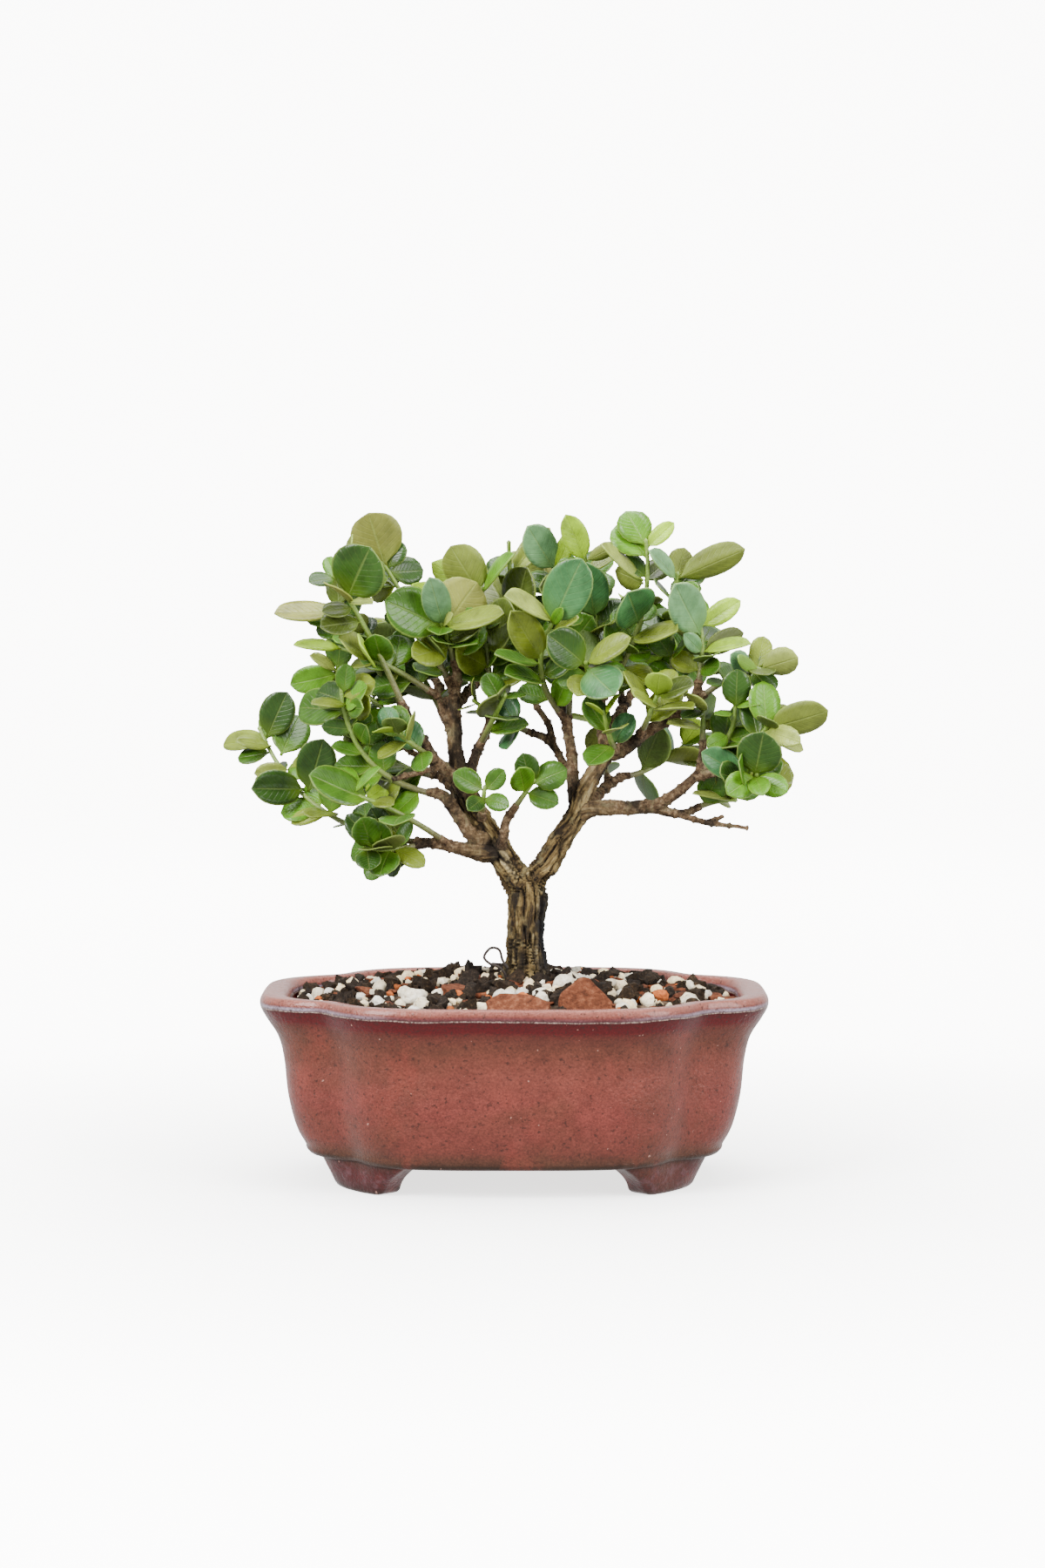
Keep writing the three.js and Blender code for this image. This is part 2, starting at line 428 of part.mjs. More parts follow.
// The pot's outline from above is two rounded oblongs, a long narrow one and a short wide one,
// whose lobes meet in soft creases.
function oblongRadius(angle, halfLength, halfWidth) {
  const x = Math.abs(Math.cos(angle) / halfLength) ** LOBE_POWER;
  const y = Math.abs(Math.sin(angle) / halfWidth) ** LOBE_POWER;
  return (x + y) ** (-1 / LOBE_POWER);
}

function potRadius(angle, inset) {
  const drawnIn = MIDDLE_SHRINK * inset;
  const wide = oblongRadius(angle, MIDDLE_LOBE_LENGTH / 2 - drawnIn, POT_DEPTH / 2 - drawnIn);
  const long = oblongRadius(angle, POT_LENGTH / 2 - inset, END_LOBE_WIDTH / 2 - END_SHRINK * inset);
  return (wide ** LOBE_CREASE + long ** LOBE_CREASE) ** (1 / LOBE_CREASE);
}

function potPoint([inset, height, scale = 1, clear = 0], angle) {
  const radius = potRadius(angle, inset) * scale - clear;
  return new THREE.Vector3(radius * Math.cos(angle), radius * Math.sin(angle), height);
}

function footGeometry(quarter) {
  const geometry = new THREE.BoxGeometry(1, 1, 1, 4, 1, 2);
  const position = geometry.attributes.position;
  const side = quarter % 2 === 0 ? 1 : -1;
  for (let i = 0; i < position.count; i++) {
    const rise = position.getZ(i) + 0.5;
    const bend = rise ** FOOT_FLARE;
    const middle = side * mix(FOOT.lowMiddle, FOOT.topMiddle, bend) + 180 * Math.ceil(quarter / 2);
    const angle = radians(middle + position.getX(i) * mix(FOOT.lowSpan, FOOT.topSpan, bend));
    const toFront = 0.5 + side * position.getX(i);
    const low = mix(FOOT.lowAtEnd, FOOT.lowAtFront, toFront ** 2);
    const radius = mix(low, potRadius(angle, FOOT.topInset), rise) - (position.getY(i) + 0.5) * FOOT.thickness;
    const height = rise * (POT_UNDERSIDE + FOOT_SINK);
    position.setXYZ(i, radius * Math.cos(angle), radius * Math.sin(angle), height);
  }
  return geometry;
}

function boxSolid(size, center) {
  return solidOf(new THREE.BoxGeometry(...size).translate(...center));
}

function potSolid() {
  const rows = [[0, POT_UNDERSIDE, 0], ...POT_OUTSIDE, ...POT_INSIDE, [0, POT_FLOOR, 0]];
  let pot = solidOf(turnedGeometry(rows, POT_SEGMENTS, potPoint));
  for (let quarter = 0; quarter < 4; quarter++) {
    pot = pot.add(solidOf(footGeometry(quarter)));
  }
  for (const x of [-DRAIN_X, DRAIN_X]) {
    const bore = new THREE.CylinderGeometry(DRAIN_RADIUS, DRAIN_RADIUS, 2 * POT_FLOOR, DRAIN_SIDES);
    bore.rotateX(Math.PI / 2).translate(x, 0, POT_FLOOR);
    pot = pot.subtract(solidOf(bore));
  }
  return pot;
}

function screenSolid(x, spread = 0) {
  const bottom = POT_FLOOR + CLEARANCE - spread;
  const height = SCREEN_THICKNESS + 2 * spread;
  const size = SCREEN_SIZE + 2 * spread;
  return boxSolid([size, size, height], [x, 0, bottom + height / 2]);
}

function meshedScreenSolid(x) {
  let screen = screenSolid(x);
  for (const i of [-0.5, 0.5]) {
    for (const j of [-0.5, 0.5]) {
      const center = [x + i * SCREEN_PITCH, j * SCREEN_PITCH, POT_FLOOR];
      screen = screen.subtract(boxSolid([SCREEN_HOLE, SCREEN_HOLE, 8], center));
    }
  }
  return screen;
}

// The soil fills the pot and rises in a low mound towards the trunk.
function soilHeight(x, y) {
  const share = Math.hypot(x, y) / potRadius(Math.atan2(y, x), SOIL_RIM_INSET);
  return SOIL_EDGE + (SOIL_CROWN - SOIL_EDGE) * (1 - share * share);
}

function grainSolid(index) {
  const share = Math.sqrt((index + 0.7) / GRAIN_COUNT) * 0.92;
  const angle = index * 2.39996 + draw(index * 5) * 0.5;
  const radius = share * potRadius(angle, SOIL_RIM_INSET);
  const x = radius * Math.cos(angle);
  const y = radius * Math.sin(angle);
  const size = mix(...GRAIN_SIZE, draw(index * 5 + 1));
  const grain = new THREE.IcosahedronGeometry(0.5, 0);
  grain.rotateX(draw(index * 5 + 2) * 6).rotateZ(draw(index * 5 + 3) * 6);
  grain.scale(size, size * 0.85, size * 0.7);
  return solidOf(grain.translate(x, y, soilHeight(x, y) + size * 0.08));
}

function chipGeometry(outline) {
  const face = new THREE.Shape(outline.map(([along, across]) => new THREE.Vector2(along, across)));
  return new THREE.ExtrudeGeometry(face, { depth: 1, bevelEnabled: false }).translate(0, 0, -0.5);
}

function looseSolid([, , x, y, length, width, height, turn, tilt, outline], spread = 0) {
  const shape = outline ? chipGeometry(outline) : new THREE.IcosahedronGeometry(0.52, 0);
  shape.scale(length + 2 * spread, width + 2 * spread, height + 2 * spread);
  shape.rotateX(radians(tilt)).rotateZ(radians(turn));
  const tall = width * Math.sin(radians(tilt)) + height * Math.cos(radians(tilt));
  return solidOf(shape.translate(x, y, soilHeight(x, y) + tall * (0.5 - LOOSE_SINK)));
}

function soilSolid(wood) {
  const gap = CLEARANCE;
  const walls = POT_INSIDE.slice(2).reverse().map(([inset, height]) => [
    inset, height + (height < 30 ? gap : 0), 1, SOIL_WALL_GAP,
  ]);
  const top = SOIL_RINGS.map((scale) => [
    SOIL_RIM_INSET, SOIL_EDGE + (SOIL_CROWN - SOIL_EDGE) * (1 - scale * scale), scale, SOIL_WALL_GAP,
  ]);
  const rows = [[0, POT_FLOOR + gap, 0], ...walls, ...top, [0, SOIL_CROWN, 0]];
  let soil = solidOf(turnedGeometry(rows, POT_SEGMENTS, potPoint));
  for (let index = 0; index < GRAIN_COUNT; index++) {
    soil = soil.add(grainSolid(index));
  }
  for (const x of [-DRAIN_X, DRAIN_X]) {
    soil = soil.subtract(screenSolid(x, gap));
  }
  for (const piece of LOOSE) {
    soil = soil.subtract(looseSolid(piece, gap));
  }
  return soil.subtract(limbSolid(LIMBS.trunk, gap)).subtract(wood);
}

// Wood
function limbSolid(rows, spread = 0) {
  const points = rows.map((row) => vector(row.slice(0, 3)));
  points[0].z -= spread;
  const radii = rows.map((row) => row[3] + spread);
  const thickest = Math.max(...radii);
  const sides = LIMB_SIDES.find(([least]) => thickest > least)[1];
  return solidOf(barGeometry(points, radii, sides));
}

function limbPlace(limb, at) {
  const rows = LIMBS[limb];
  const below = Math.min(Math.floor(at), rows.length - 2);
  const from = rows[below];
  const to = rows[below + 1];
  return from.map((value, index) => mix(value, to[index], at - below));
}

// A shoot's line is one smooth curve from the middle of its limb to its tip.
function shootLine(limb, at, tip, bow) {
  const [x, y, z, limbRadius] = limbPlace(limb, at);
  const start = new THREE.Vector3(x, y, z);
  const end = vector(tip);
  const middle = start.clone().add(end).multiplyScalar(0.5).addScaledVector(vector(bow), 2);
  const curve = new THREE.QuadraticBezierCurve3(start, middle, end);
  const spurEnd = (limbRadius + SPUR_LENGTH) / curve.getLength();
  return { curve, start, middle, end, spurEnd, stemStart: spurEnd + CLEARANCE / curve.getLength() };
}

function lineDirection(line, t) {
  const first = line.middle.clone().sub(line.start).multiplyScalar(1 - t);
  return first.addScaledVector(line.end.clone().sub(line.middle), t).normalize();
}

function lineSolid(line, from, to, radii, steps) {
  const points = [];
  const widths = [];
  for (let i = 0; i <= steps; i++) {
    points.push(line.curve.getPoint(mix(from, to, i / steps)));
    widths.push(mix(...radii, i / steps));
  }
  return solidOf(barGeometry(points, widths, STEM_SIDES));
}

// A point on the middle line of a stem, which runs straight between its steps
function stemPoint(line, share) {
  const step = (1 - line.stemStart) / STEM_STEPS;
  const below = Math.min(Math.floor((share - line.stemStart) / step), STEM_STEPS - 1);
  const from = line.stemStart + below * step;
  return line.curve.getPoint(from).lerp(line.curve.getPoint(from + step), (share - from) / step);
}

const spurSolid = (line) => lineSolid(line, 0, line.spurEnd, SPUR_RADIUS, 1);
const stemSolid = (line) => lineSolid(line, line.stemStart, 1, STEM_RADIUS, STEM_STEPS);

// A limb's end bends into the first shoot that stands on it. Other shoots stand on short spurs.
function woodSolid(shoots) {
  const ends = new Map();
  const spurs = [];
  for (const { line, limb, at } of shoots) {
    const isEnd = at === LIMBS[limb].length - 1 && !ends.has(limb);
    if (isEnd) {
      ends.set(limb, [...line.curve.getPoint(line.spurEnd).toArray(), SPUR_RADIUS[1]]);
    } else {
      spurs.push(spurSolid(line));
    }
  }
  const limbs = Object.entries(LIMBS).map(([name, rows]) => {
    const end = ends.get(name);
    return limbSolid(end ? [...rows, end] : rows);
  });
  return [...limbs, ...spurs].reduce((whole, piece) => whole.add(piece));
}

// A blade folds a little along its middle line. Its root is sunk to the middle of the stem.
function bladeSolid(root, tip, face, ratio, swell = 0, from = 0) {
  const along = tip.clone().sub(root);
  const length = along.length();
  along.normalize();
  const up = face.clone().addScaledVector(along, -face.dot(along)).normalize();
  const side = along.clone().cross(up);
  const right = BLADE_ROWS.map(([share, half]) => [share * length, half * ratio * length + swell]);
  const left = right.map(([distance, half]) => [distance, -half]).reverse();
  const outline = [[from * length, 0], ...right, [length + swell, 0], ...left];
  const half = BLADE_THICKNESS / 2 + swell;
  const positions = [];
  for (const height of [half, -half]) {
    for (const [distance, across] of outline) {
      const point = root.clone().addScaledVector(along, distance).addScaledVector(side, across);
      point.addScaledVector(up, BLADE_FOLD * Math.abs(across) + height);
      positions.push(point.x, point.y, point.z);
    }
  }
  const count = outline.length;
  const index = [];
  for (let i = 1; i < count - 1; i++) {
    index.push(0, i, i + 1, count, count + i + 1, count + i);
  }
  for (let i = 0; i < count; i++) {
    const next = (i + 1) % count;
    index.push(i, count + i, count + next, i, count + next, next);
  }
  const geometry = new THREE.BufferGeometry();
  geometry.setAttribute('position', new THREE.Float32BufferAttribute(positions, 3));
  geometry.setIndex(index);
  return solidOf(geometry);
}

function rootPoint(line, share, tip) {
  const middle = stemPoint(line, share);
  const along = lineDirection(line, share);
  const out = tip.clone().sub(middle);
  out.addScaledVector(along, -out.dot(along)).normalize();
  return middle.addScaledVector(out, BLADE_ROOT_OFFSET);
}

function setLeaves(line, leaves) {
  return leaves.map(([share, tip, facing, ratio]) => ({
    root: rootPoint(line, share, vector(tip)), tip: vector(tip), face: vector(FACING[facing]), ratio,
  }));
}

function pairedLeaves(line, pairs, length, turn, seed) {
  const leaves = [];
  for (let pair = 0; pair < pairs; pair++) {
    const share = pair / (pairs - 1);
    const place = mix(...PAIR_SPREAD, share);
    const along = lineDirection(line, place);
    const east = new THREE.Vector3(0, 1, 0).cross(along).normalize();
    const north = along.clone().cross(east);
    for (let side = 0; side < 2; side++) {
      const leaf = seed * 40 + pair * 8 + side * 4;
      const drift = (draw(leaf) - 0.5) * 2 * TURN_DRIFT;
      const angle = radians(turn + LEAF_PAIR_TURN * pair + 180 * side + drift);
      const opening = radians(mix(...PAIR_OPENING, share) + (draw(leaf + 1) - 0.5) * 2 * OPENING_DRIFT);
      const size = length * (1 - TIP_SHRINK * share ** 3) * mix(...PAIRED_LEAF_SIZE, draw(leaf + 2));
      const outward = east.clone().multiplyScalar(Math.cos(angle)).addScaledVector(north, Math.sin(angle));
      const root = stemPoint(line, place).addScaledVector(outward, BLADE_ROOT_OFFSET);
      const tip = root.clone().addScaledVector(along, size * Math.cos(opening));
      tip.addScaledVector(outward, size * Math.sin(opening));
      const face = along.clone();
      face.z += PAIRED_LEAF_LIFT;
      leaves.push({ root, tip, face, ratio: mix(...PAIRED_LEAF_RATIO, draw(leaf + 3)) });
    }
  }
  return leaves;
}

const shoots = [
  ...SET_SHOOTS.map(([name, limb, at, tip, bow, leaves]) => {
    const line = shootLine(limb, at, tip, bow);
    return { name, limb, at, line, leaves: setLeaves(line, leaves) };
  }),
  ...PAIRED_SHOOTS.map(([name, limb, at, tip, bow, pairs, length, turn], index) => {
    const line = shootLine(limb, at, tip, bow);
    return { name, limb, at, line, leaves: pairedLeaves(line, pairs, length, turn, index + 1) };
  }),
];

// Leaves are set one by one, each clear of everything of its neighbours.
function overlaps(solid, box, others) {
  return others.some((other) => boxesMeet(box, other.box) && solid.intersect(other.solid).volume() > 1e-4);
}

function boxOf(solid) {
  const { min, max } = solid.boundingBox();
  return new THREE.Box3(vector(Array.from(min)), vector(Array.from(max)));
}

const boxesMeet = (a, b) => a.intersectsBox(b);

function bentLeaf(leaf, [shift, share]) {
  const tip = leaf.root.clone().lerp(leaf.tip.clone().add(vector(shift)), share);
  return { ...leaf, tip };
}

function growLeaves(allShoots, fixed) {
  const stems = allShoots.map((shoot) => {
    const solid = stemSolid(shoot.line);
    return { owner: shoot.name, solid, box: boxOf(solid) };
  });
  const placed = [...fixed.map((solid) => ({ owner: '', solid, box: boxOf(solid) })), ...stems];
  const bodies = new Map(stems.map((stem) => [stem.owner, stem.solid]));
  for (const shoot of allShoots) {
    shoot.leaves.forEach((leaf) => {
      const strangers = placed.filter((other) => other.owner !== shoot.name);
      const kin = placed.filter((other) => other.owner === shoot.name && other.outer);
      const kinOuter = kin.map((other) => ({ solid: other.outer, box: other.box }));
      const bend = LEAF_BENDS.find((option) => {
        const { root, tip, face, ratio } = bentLeaf(leaf, option);
        const whole = bladeSolid(root, tip, face, ratio, BLADE_SWELL);
        const outer = bladeSolid(root, tip, face, ratio, BLADE_SWELL, SHARED_ROOT);
        const isClear = !overlaps(whole, boxOf(whole), strangers);
        return isClear && !overlaps(outer, boxOf(outer), kinOuter);
      });
      if (!bend) {
        return;
      }
      const { root, tip, face, ratio } = bentLeaf(leaf, bend);
      const solid = bladeSolid(root, tip, face, ratio);
      const outer = bladeSolid(root, tip, face, ratio, 0, SHARED_ROOT);
      placed.push({ owner: shoot.name, solid, outer, box: boxOf(solid) });
      bodies.set(shoot.name, bodies.get(shoot.name).add(solid));
    });
  }
  return bodies;
}

const wood = woodSolid(shoots);
const soil = soilSolid(wood);
const pot = potSolid();
const leafy = growLeaves(shoots, [wood, soil, pot]);

const bonsai = new THREE.Group();
bonsai.name = 'natal_plum_bonsai';
bonsai.add(meshOf('pot', pot, 'glaze'));
bonsai.add(meshOf('soil', soil, 'soil'));
bonsai.add(meshOf('screen_left', meshedScreenSolid(-DRAIN_X), 'screen'));
bonsai.add(meshOf('screen_right', meshedScreenSolid(DRAIN_X), 'screen'));
for (const piece of LOOSE) {
  bonsai.add(meshOf(piece[0], looseSolid(piece), piece[1]));
}
bonsai.add(meshOf('trunk_and_branches', wood, 'bark'));
for (const [name, solid] of leafy) {
  bonsai.add(meshOf(`shoot_${name}`, solid, 'leaf'));
}

export default bonsai;
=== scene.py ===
import math
from contextlib import contextmanager
import bpy
import numpy as np
from mathutils import Matrix, Vector, noise
from mathutils.kdtree import KDTree


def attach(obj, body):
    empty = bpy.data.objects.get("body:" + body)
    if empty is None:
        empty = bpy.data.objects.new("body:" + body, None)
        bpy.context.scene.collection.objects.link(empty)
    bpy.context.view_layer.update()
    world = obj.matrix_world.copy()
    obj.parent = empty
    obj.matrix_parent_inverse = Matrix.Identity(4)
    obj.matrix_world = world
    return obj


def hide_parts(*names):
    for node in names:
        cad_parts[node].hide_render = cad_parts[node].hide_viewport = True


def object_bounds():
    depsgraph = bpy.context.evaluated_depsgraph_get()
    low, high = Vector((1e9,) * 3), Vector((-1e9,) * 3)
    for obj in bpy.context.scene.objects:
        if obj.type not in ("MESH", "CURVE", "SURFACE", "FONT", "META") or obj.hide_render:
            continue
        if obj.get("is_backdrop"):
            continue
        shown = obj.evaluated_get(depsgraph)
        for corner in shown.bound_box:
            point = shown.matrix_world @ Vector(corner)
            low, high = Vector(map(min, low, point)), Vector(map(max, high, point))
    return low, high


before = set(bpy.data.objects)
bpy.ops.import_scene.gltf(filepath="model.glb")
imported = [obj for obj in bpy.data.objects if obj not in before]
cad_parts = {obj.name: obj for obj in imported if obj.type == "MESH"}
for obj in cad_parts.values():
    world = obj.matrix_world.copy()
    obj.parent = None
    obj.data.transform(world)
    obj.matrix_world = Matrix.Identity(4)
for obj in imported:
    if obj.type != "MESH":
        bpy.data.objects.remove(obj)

cad_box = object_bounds()
box_low, box_high = (np.array(corner, float) for corner in cad_box)
scene = bpy.context.scene
MM = 0.001

# The camera stands a metre in front of the plant and looks down on it a little.
CAMERA_PLACE, CAMERA_DIP = (0.0025, -1.0, 0.189), 3.9
CAMERA_FILM, CAMERA_LENS = 36, 75.2
camera_data = bpy.data.cameras.new("camera")
camera_data.sensor_fit = "VERTICAL"
camera_data.sensor_height = CAMERA_FILM
camera_data.lens = CAMERA_LENS
camera = bpy.data.objects.new("camera", camera_data)
camera.location = CAMERA_PLACE
camera.rotation_euler = (math.radians(90 - CAMERA_DIP), 0, 0)
scene.collection.objects.link(camera)
scene.camera = camera

# Sizes of the plant and its pot in millimetres and degrees, the same as in the solids
POT_LENGTH, POT_DEPTH = 155, 106
POT_UNDERSIDE, POT_FLOOR = 9.3, 15.5
END_LOBE_WIDTH, MIDDLE_LOBE_LENGTH = 72, 116
LOBE_POWER, LOBE_CREASE = 4, 28
MIDDLE_SHRINK, END_SHRINK = 0.57, 0.33
DRAIN_RADIUS, DRAIN_X = 6, 30
# The pot's section from foot to rim and back to the floor: how far in from the rim's edge, and the height
POT_OUTSIDE = [
    [17, POT_UNDERSIDE], [15.2, 9.6], [13.9, 10.8], [13.5, 12.4], [10.8, 17.5], [8.4, 27], [7.2, 38],
    [5.4, 45.2], [1.8, 51], [0.2, 54], [0, 56], [0.7, 57.4],
]
POT_INSIDE = [
    [2, 58.1], [6.4, 58.1], [8.2, 56.8], [8.8, 55], [9.6, 50], [14.5, 31], [17, 20], [23, POT_FLOOR],
]
FLAT_INSET = 30
FOOT_TOP_MIDDLE, FOOT_TOP_SPAN = 33.3, 47.4
FOOT_LOW_MIDDLE, FOOT_LOW_SPAN = 28.5, 25
FOOT_TOP_INSET, FOOT_THICKNESS = 16.4, 8
FOOT_LOW_AT_END, FOOT_LOW_AT_FRONT = 56.6, 52.4
FOOT_SINK, FOOT_OVERLAP, FOOT_FLARE = 1, 2, 1.6
SOIL_EDGE, SOIL_CROWN, SOIL_RIM_INSET = 53.8, 61, 9.3
SPUR_LENGTH, SPUR_RADIUS = 3, [1.5, 1.3]
JOINT_GAP = 0.3
STEM_STEPS = 2
BLADE_THICKNESS, BLADE_ROOT_OFFSET = 0.6, 0.35
PAIR_SPREAD, PAIR_OPENING = [0.34, 0.97], [68, 46]
LEAF_PAIR_TURN = 90
OPENING_DRIFT, TURN_DRIFT = 14, 18
TIP_SHRINK = 0.3
LOOSE_SINK = 0.42

# Limbs: the middle of the wood and its radius, from where each limb starts inside its parent
LIMBS = {
    "trunk": [
        [3.5, 0, 45, 7.2], [3.6, 0, 60, 7.6], [3.6, 0, 64, 6.7], [3.6, 0, 69, 5.9], [3.6, 0, 77, 5.5],
        [3.9, 0, 85, 5.7], [3.8, 0, 89.5, 5.6], [3.8, 0, 93, 3.6],
    ],
    "left": [
        [3.6, 0, 84, 4.6], [2.5, 0, 88.5, 4.9], [-1.5, 1, 95.6, 4.2], [-5.5, 2, 101.5, 4],
        [-10.3, 2, 109, 3.7], [-14.3, 3, 115.6, 3.4], [-16.7, 3, 123, 3], [-18, 3, 130, 2.4],
        [-18.4, 4, 137, 2.4], [-18.4, 4, 146.4, 2], [-17.5, 4, 154.5, 1.5],
    ],
    "right": [
        [3.6, 0, 83, 4.4], [4.4, 0, 88, 4.5], [7, -1, 93, 3.8], [10.5, -1, 97, 3.4], [14.7, -2, 104.8, 3.2],
        [19.1, -2, 111.6, 3.2], [20.7, -1, 117.5, 3], [23.8, 0, 123.2, 2.6], [26.9, 0, 128.3, 2.6],
        [28.8, 0, 131.4, 3],
    ],
    "left_low": [[-5, 1, 99.5, 2.8], [-11, -2, 100, 2.6], [-19, -4, 102, 1.9], [-26, -6, 103.3, 1.6]],
    "left_mid": [[-7.5, 1, 104, 2.4], [-12.6, -3, 105, 2.2], [-16.8, -5, 111, 2], [-21.5, -6, 117.6, 1.9]],
    "left_high": [
        [-14.5, 2, 117, 2.4], [-18.5, 0, 123, 2.1], [-24, -3, 128.2, 1.8], [-27.3, -4, 133.6, 1.6],
        [-30.4, -4, 138, 1.4], [-32.5, -4, 142.2, 1.3],
    ],
    "left_stub": [[-23, -2.5, 127.3, 1.4], [-29.4, -6, 130, 1.1], [-35.5, -8, 133.6, 0.8]],
    "left_spike": [[-22, -2, 126.3, 1.1], [-31, -9, 124.4, 0.9], [-37, -12, 123, 0.8]],
    "left_inner": [
        [-15.5, 3, 119, 2], [-13, 4.5, 126, 1.8], [-11.3, 5, 131, 1.6], [-8.5, 6, 136.7, 1.4],
        [-6.8, 6, 143.5, 1.4],
    ],
    "left_twig": [[-18.2, 4, 133, 1.4], [-20.4, 3.5, 138.4, 1.2], [-23.2, 3, 147.2, 1.1]],
    "centre_twig": [[-5, 1, 100.5, 1.8], [-3.4, -3, 104, 1.6], [-2.8, -4, 109, 1.5], [-1.5, -4, 111.6, 1.4]],
    "right_low": [
        [18, -2, 110.5, 2.8], [23.2, -3, 113.3, 2.5], [29.3, -4, 113.8, 2.3], [34.4, -5, 113.8, 2.2],
        [40, -5, 114.3, 2.1], [44, -6, 114, 2.1],
    ],
    "right_rise": [
        [42.5, -5.8, 114.2, 2], [46.5, -7, 116.7, 1.8], [50.2, -8, 119.4, 1.7], [54, -8, 122.7, 1.6],
        [56.3, -8, 125, 1.7], [57.2, -8, 130.5, 1.3],
    ],
    "right_reach": [[54.5, -8, 123.5, 1.5], [62, -11, 125.3, 1.4], [69.5, -14, 127, 1.2]],
    "right_tip": [[43, -6, 114, 1.6], [48, -4, 112.2, 1.5], [53, -3, 112.5, 1.2]],
    "right_dead": [[45, -6, 113.5, 1.3], [55.8, -8, 110.3, 1], [59.3, -8, 109.5, 1], [71.3, -9, 108, 0.6]],
    "right_dead_fork": [[58.5, -8, 109.6, 0.9], [63.8, -6, 111.5, 0.7]],
    "right_up": [
        [19.5, -1.5, 113, 2.5], [18, 2, 121.5, 2], [17.7, 4, 128.3, 1.8], [16.7, 5, 135.2, 1.7],
        [16.3, 5, 139.5, 1.6],
    ],
    "right_fork": [
        [17.9, 3.5, 121, 1.6], [14.3, 7, 128.3, 1.3], [12.2, 8, 131.8, 1.3], [9.5, 8, 134.5, 1.3],
        [7, 8, 135.5, 1.2],
    ],
    "right_inner": [[12.2, 8, 131.3, 1.2], [10.8, 7, 138, 1.1], [8.8, 7, 141.4, 1.1], [7, 7, 144, 1]],
    "right_crown": [
        [28.5, 0, 130.5, 2.3], [27.9, 2, 133.6, 2.2], [27.4, 4, 137.3, 2.1], [26.9, 5, 142, 1.8],
        [26.6, 6, 146.4, 1.5],
    ],
    "right_out": [
        [28.8, 0, 130.5, 2.4], [31.3, -2, 130.8, 2.3], [34.7, -3, 132.5, 2.1], [38, -4, 135.2, 1.9],
        [41.6, -4, 138, 1.9], [45, -5, 139.7, 1.8], [50.2, -5, 142.7, 1.6], [53, -5, 144.8, 1.4],
        [55.3, -5, 149, 1.3],
    ],
    "back_left": [[-17.5, 3, 128, 2.2], [-20, 18, 140, 1.8], [-24, 32, 150, 1.4]],
    "back_centre_left": [[-18.4, 4, 144, 1.8], [-14, 15, 149, 1.5], [-10, 25, 153, 1.2]],
    "back_right": [[27.6, 3, 135, 2], [33, 15, 142, 1.7], [37, 26, 148, 1.3]],
    "back_centre_right": [[16.6, 5, 136, 1.6], [15, 16, 143, 1.4], [13, 27, 149, 1.2]],
    "back_low_left": [[-12, 3, 112, 2.2], [-17, 16, 116, 1.8], [-23, 29, 121, 1.4]],
    "back_low_right": [[20, -1, 113, 2.2], [26, 13, 117, 1.8], [33, 27, 121, 1.4]],
}

# The way a leaf's upper face is turned
FACING = {
    "front": [0, -1, 0.35], "away": [0, 1, 0.35], "up": [0, -0.6, 0.8], "slant": [0, -1, 1],
    "left": [-1, -0.2, 0.2],
}

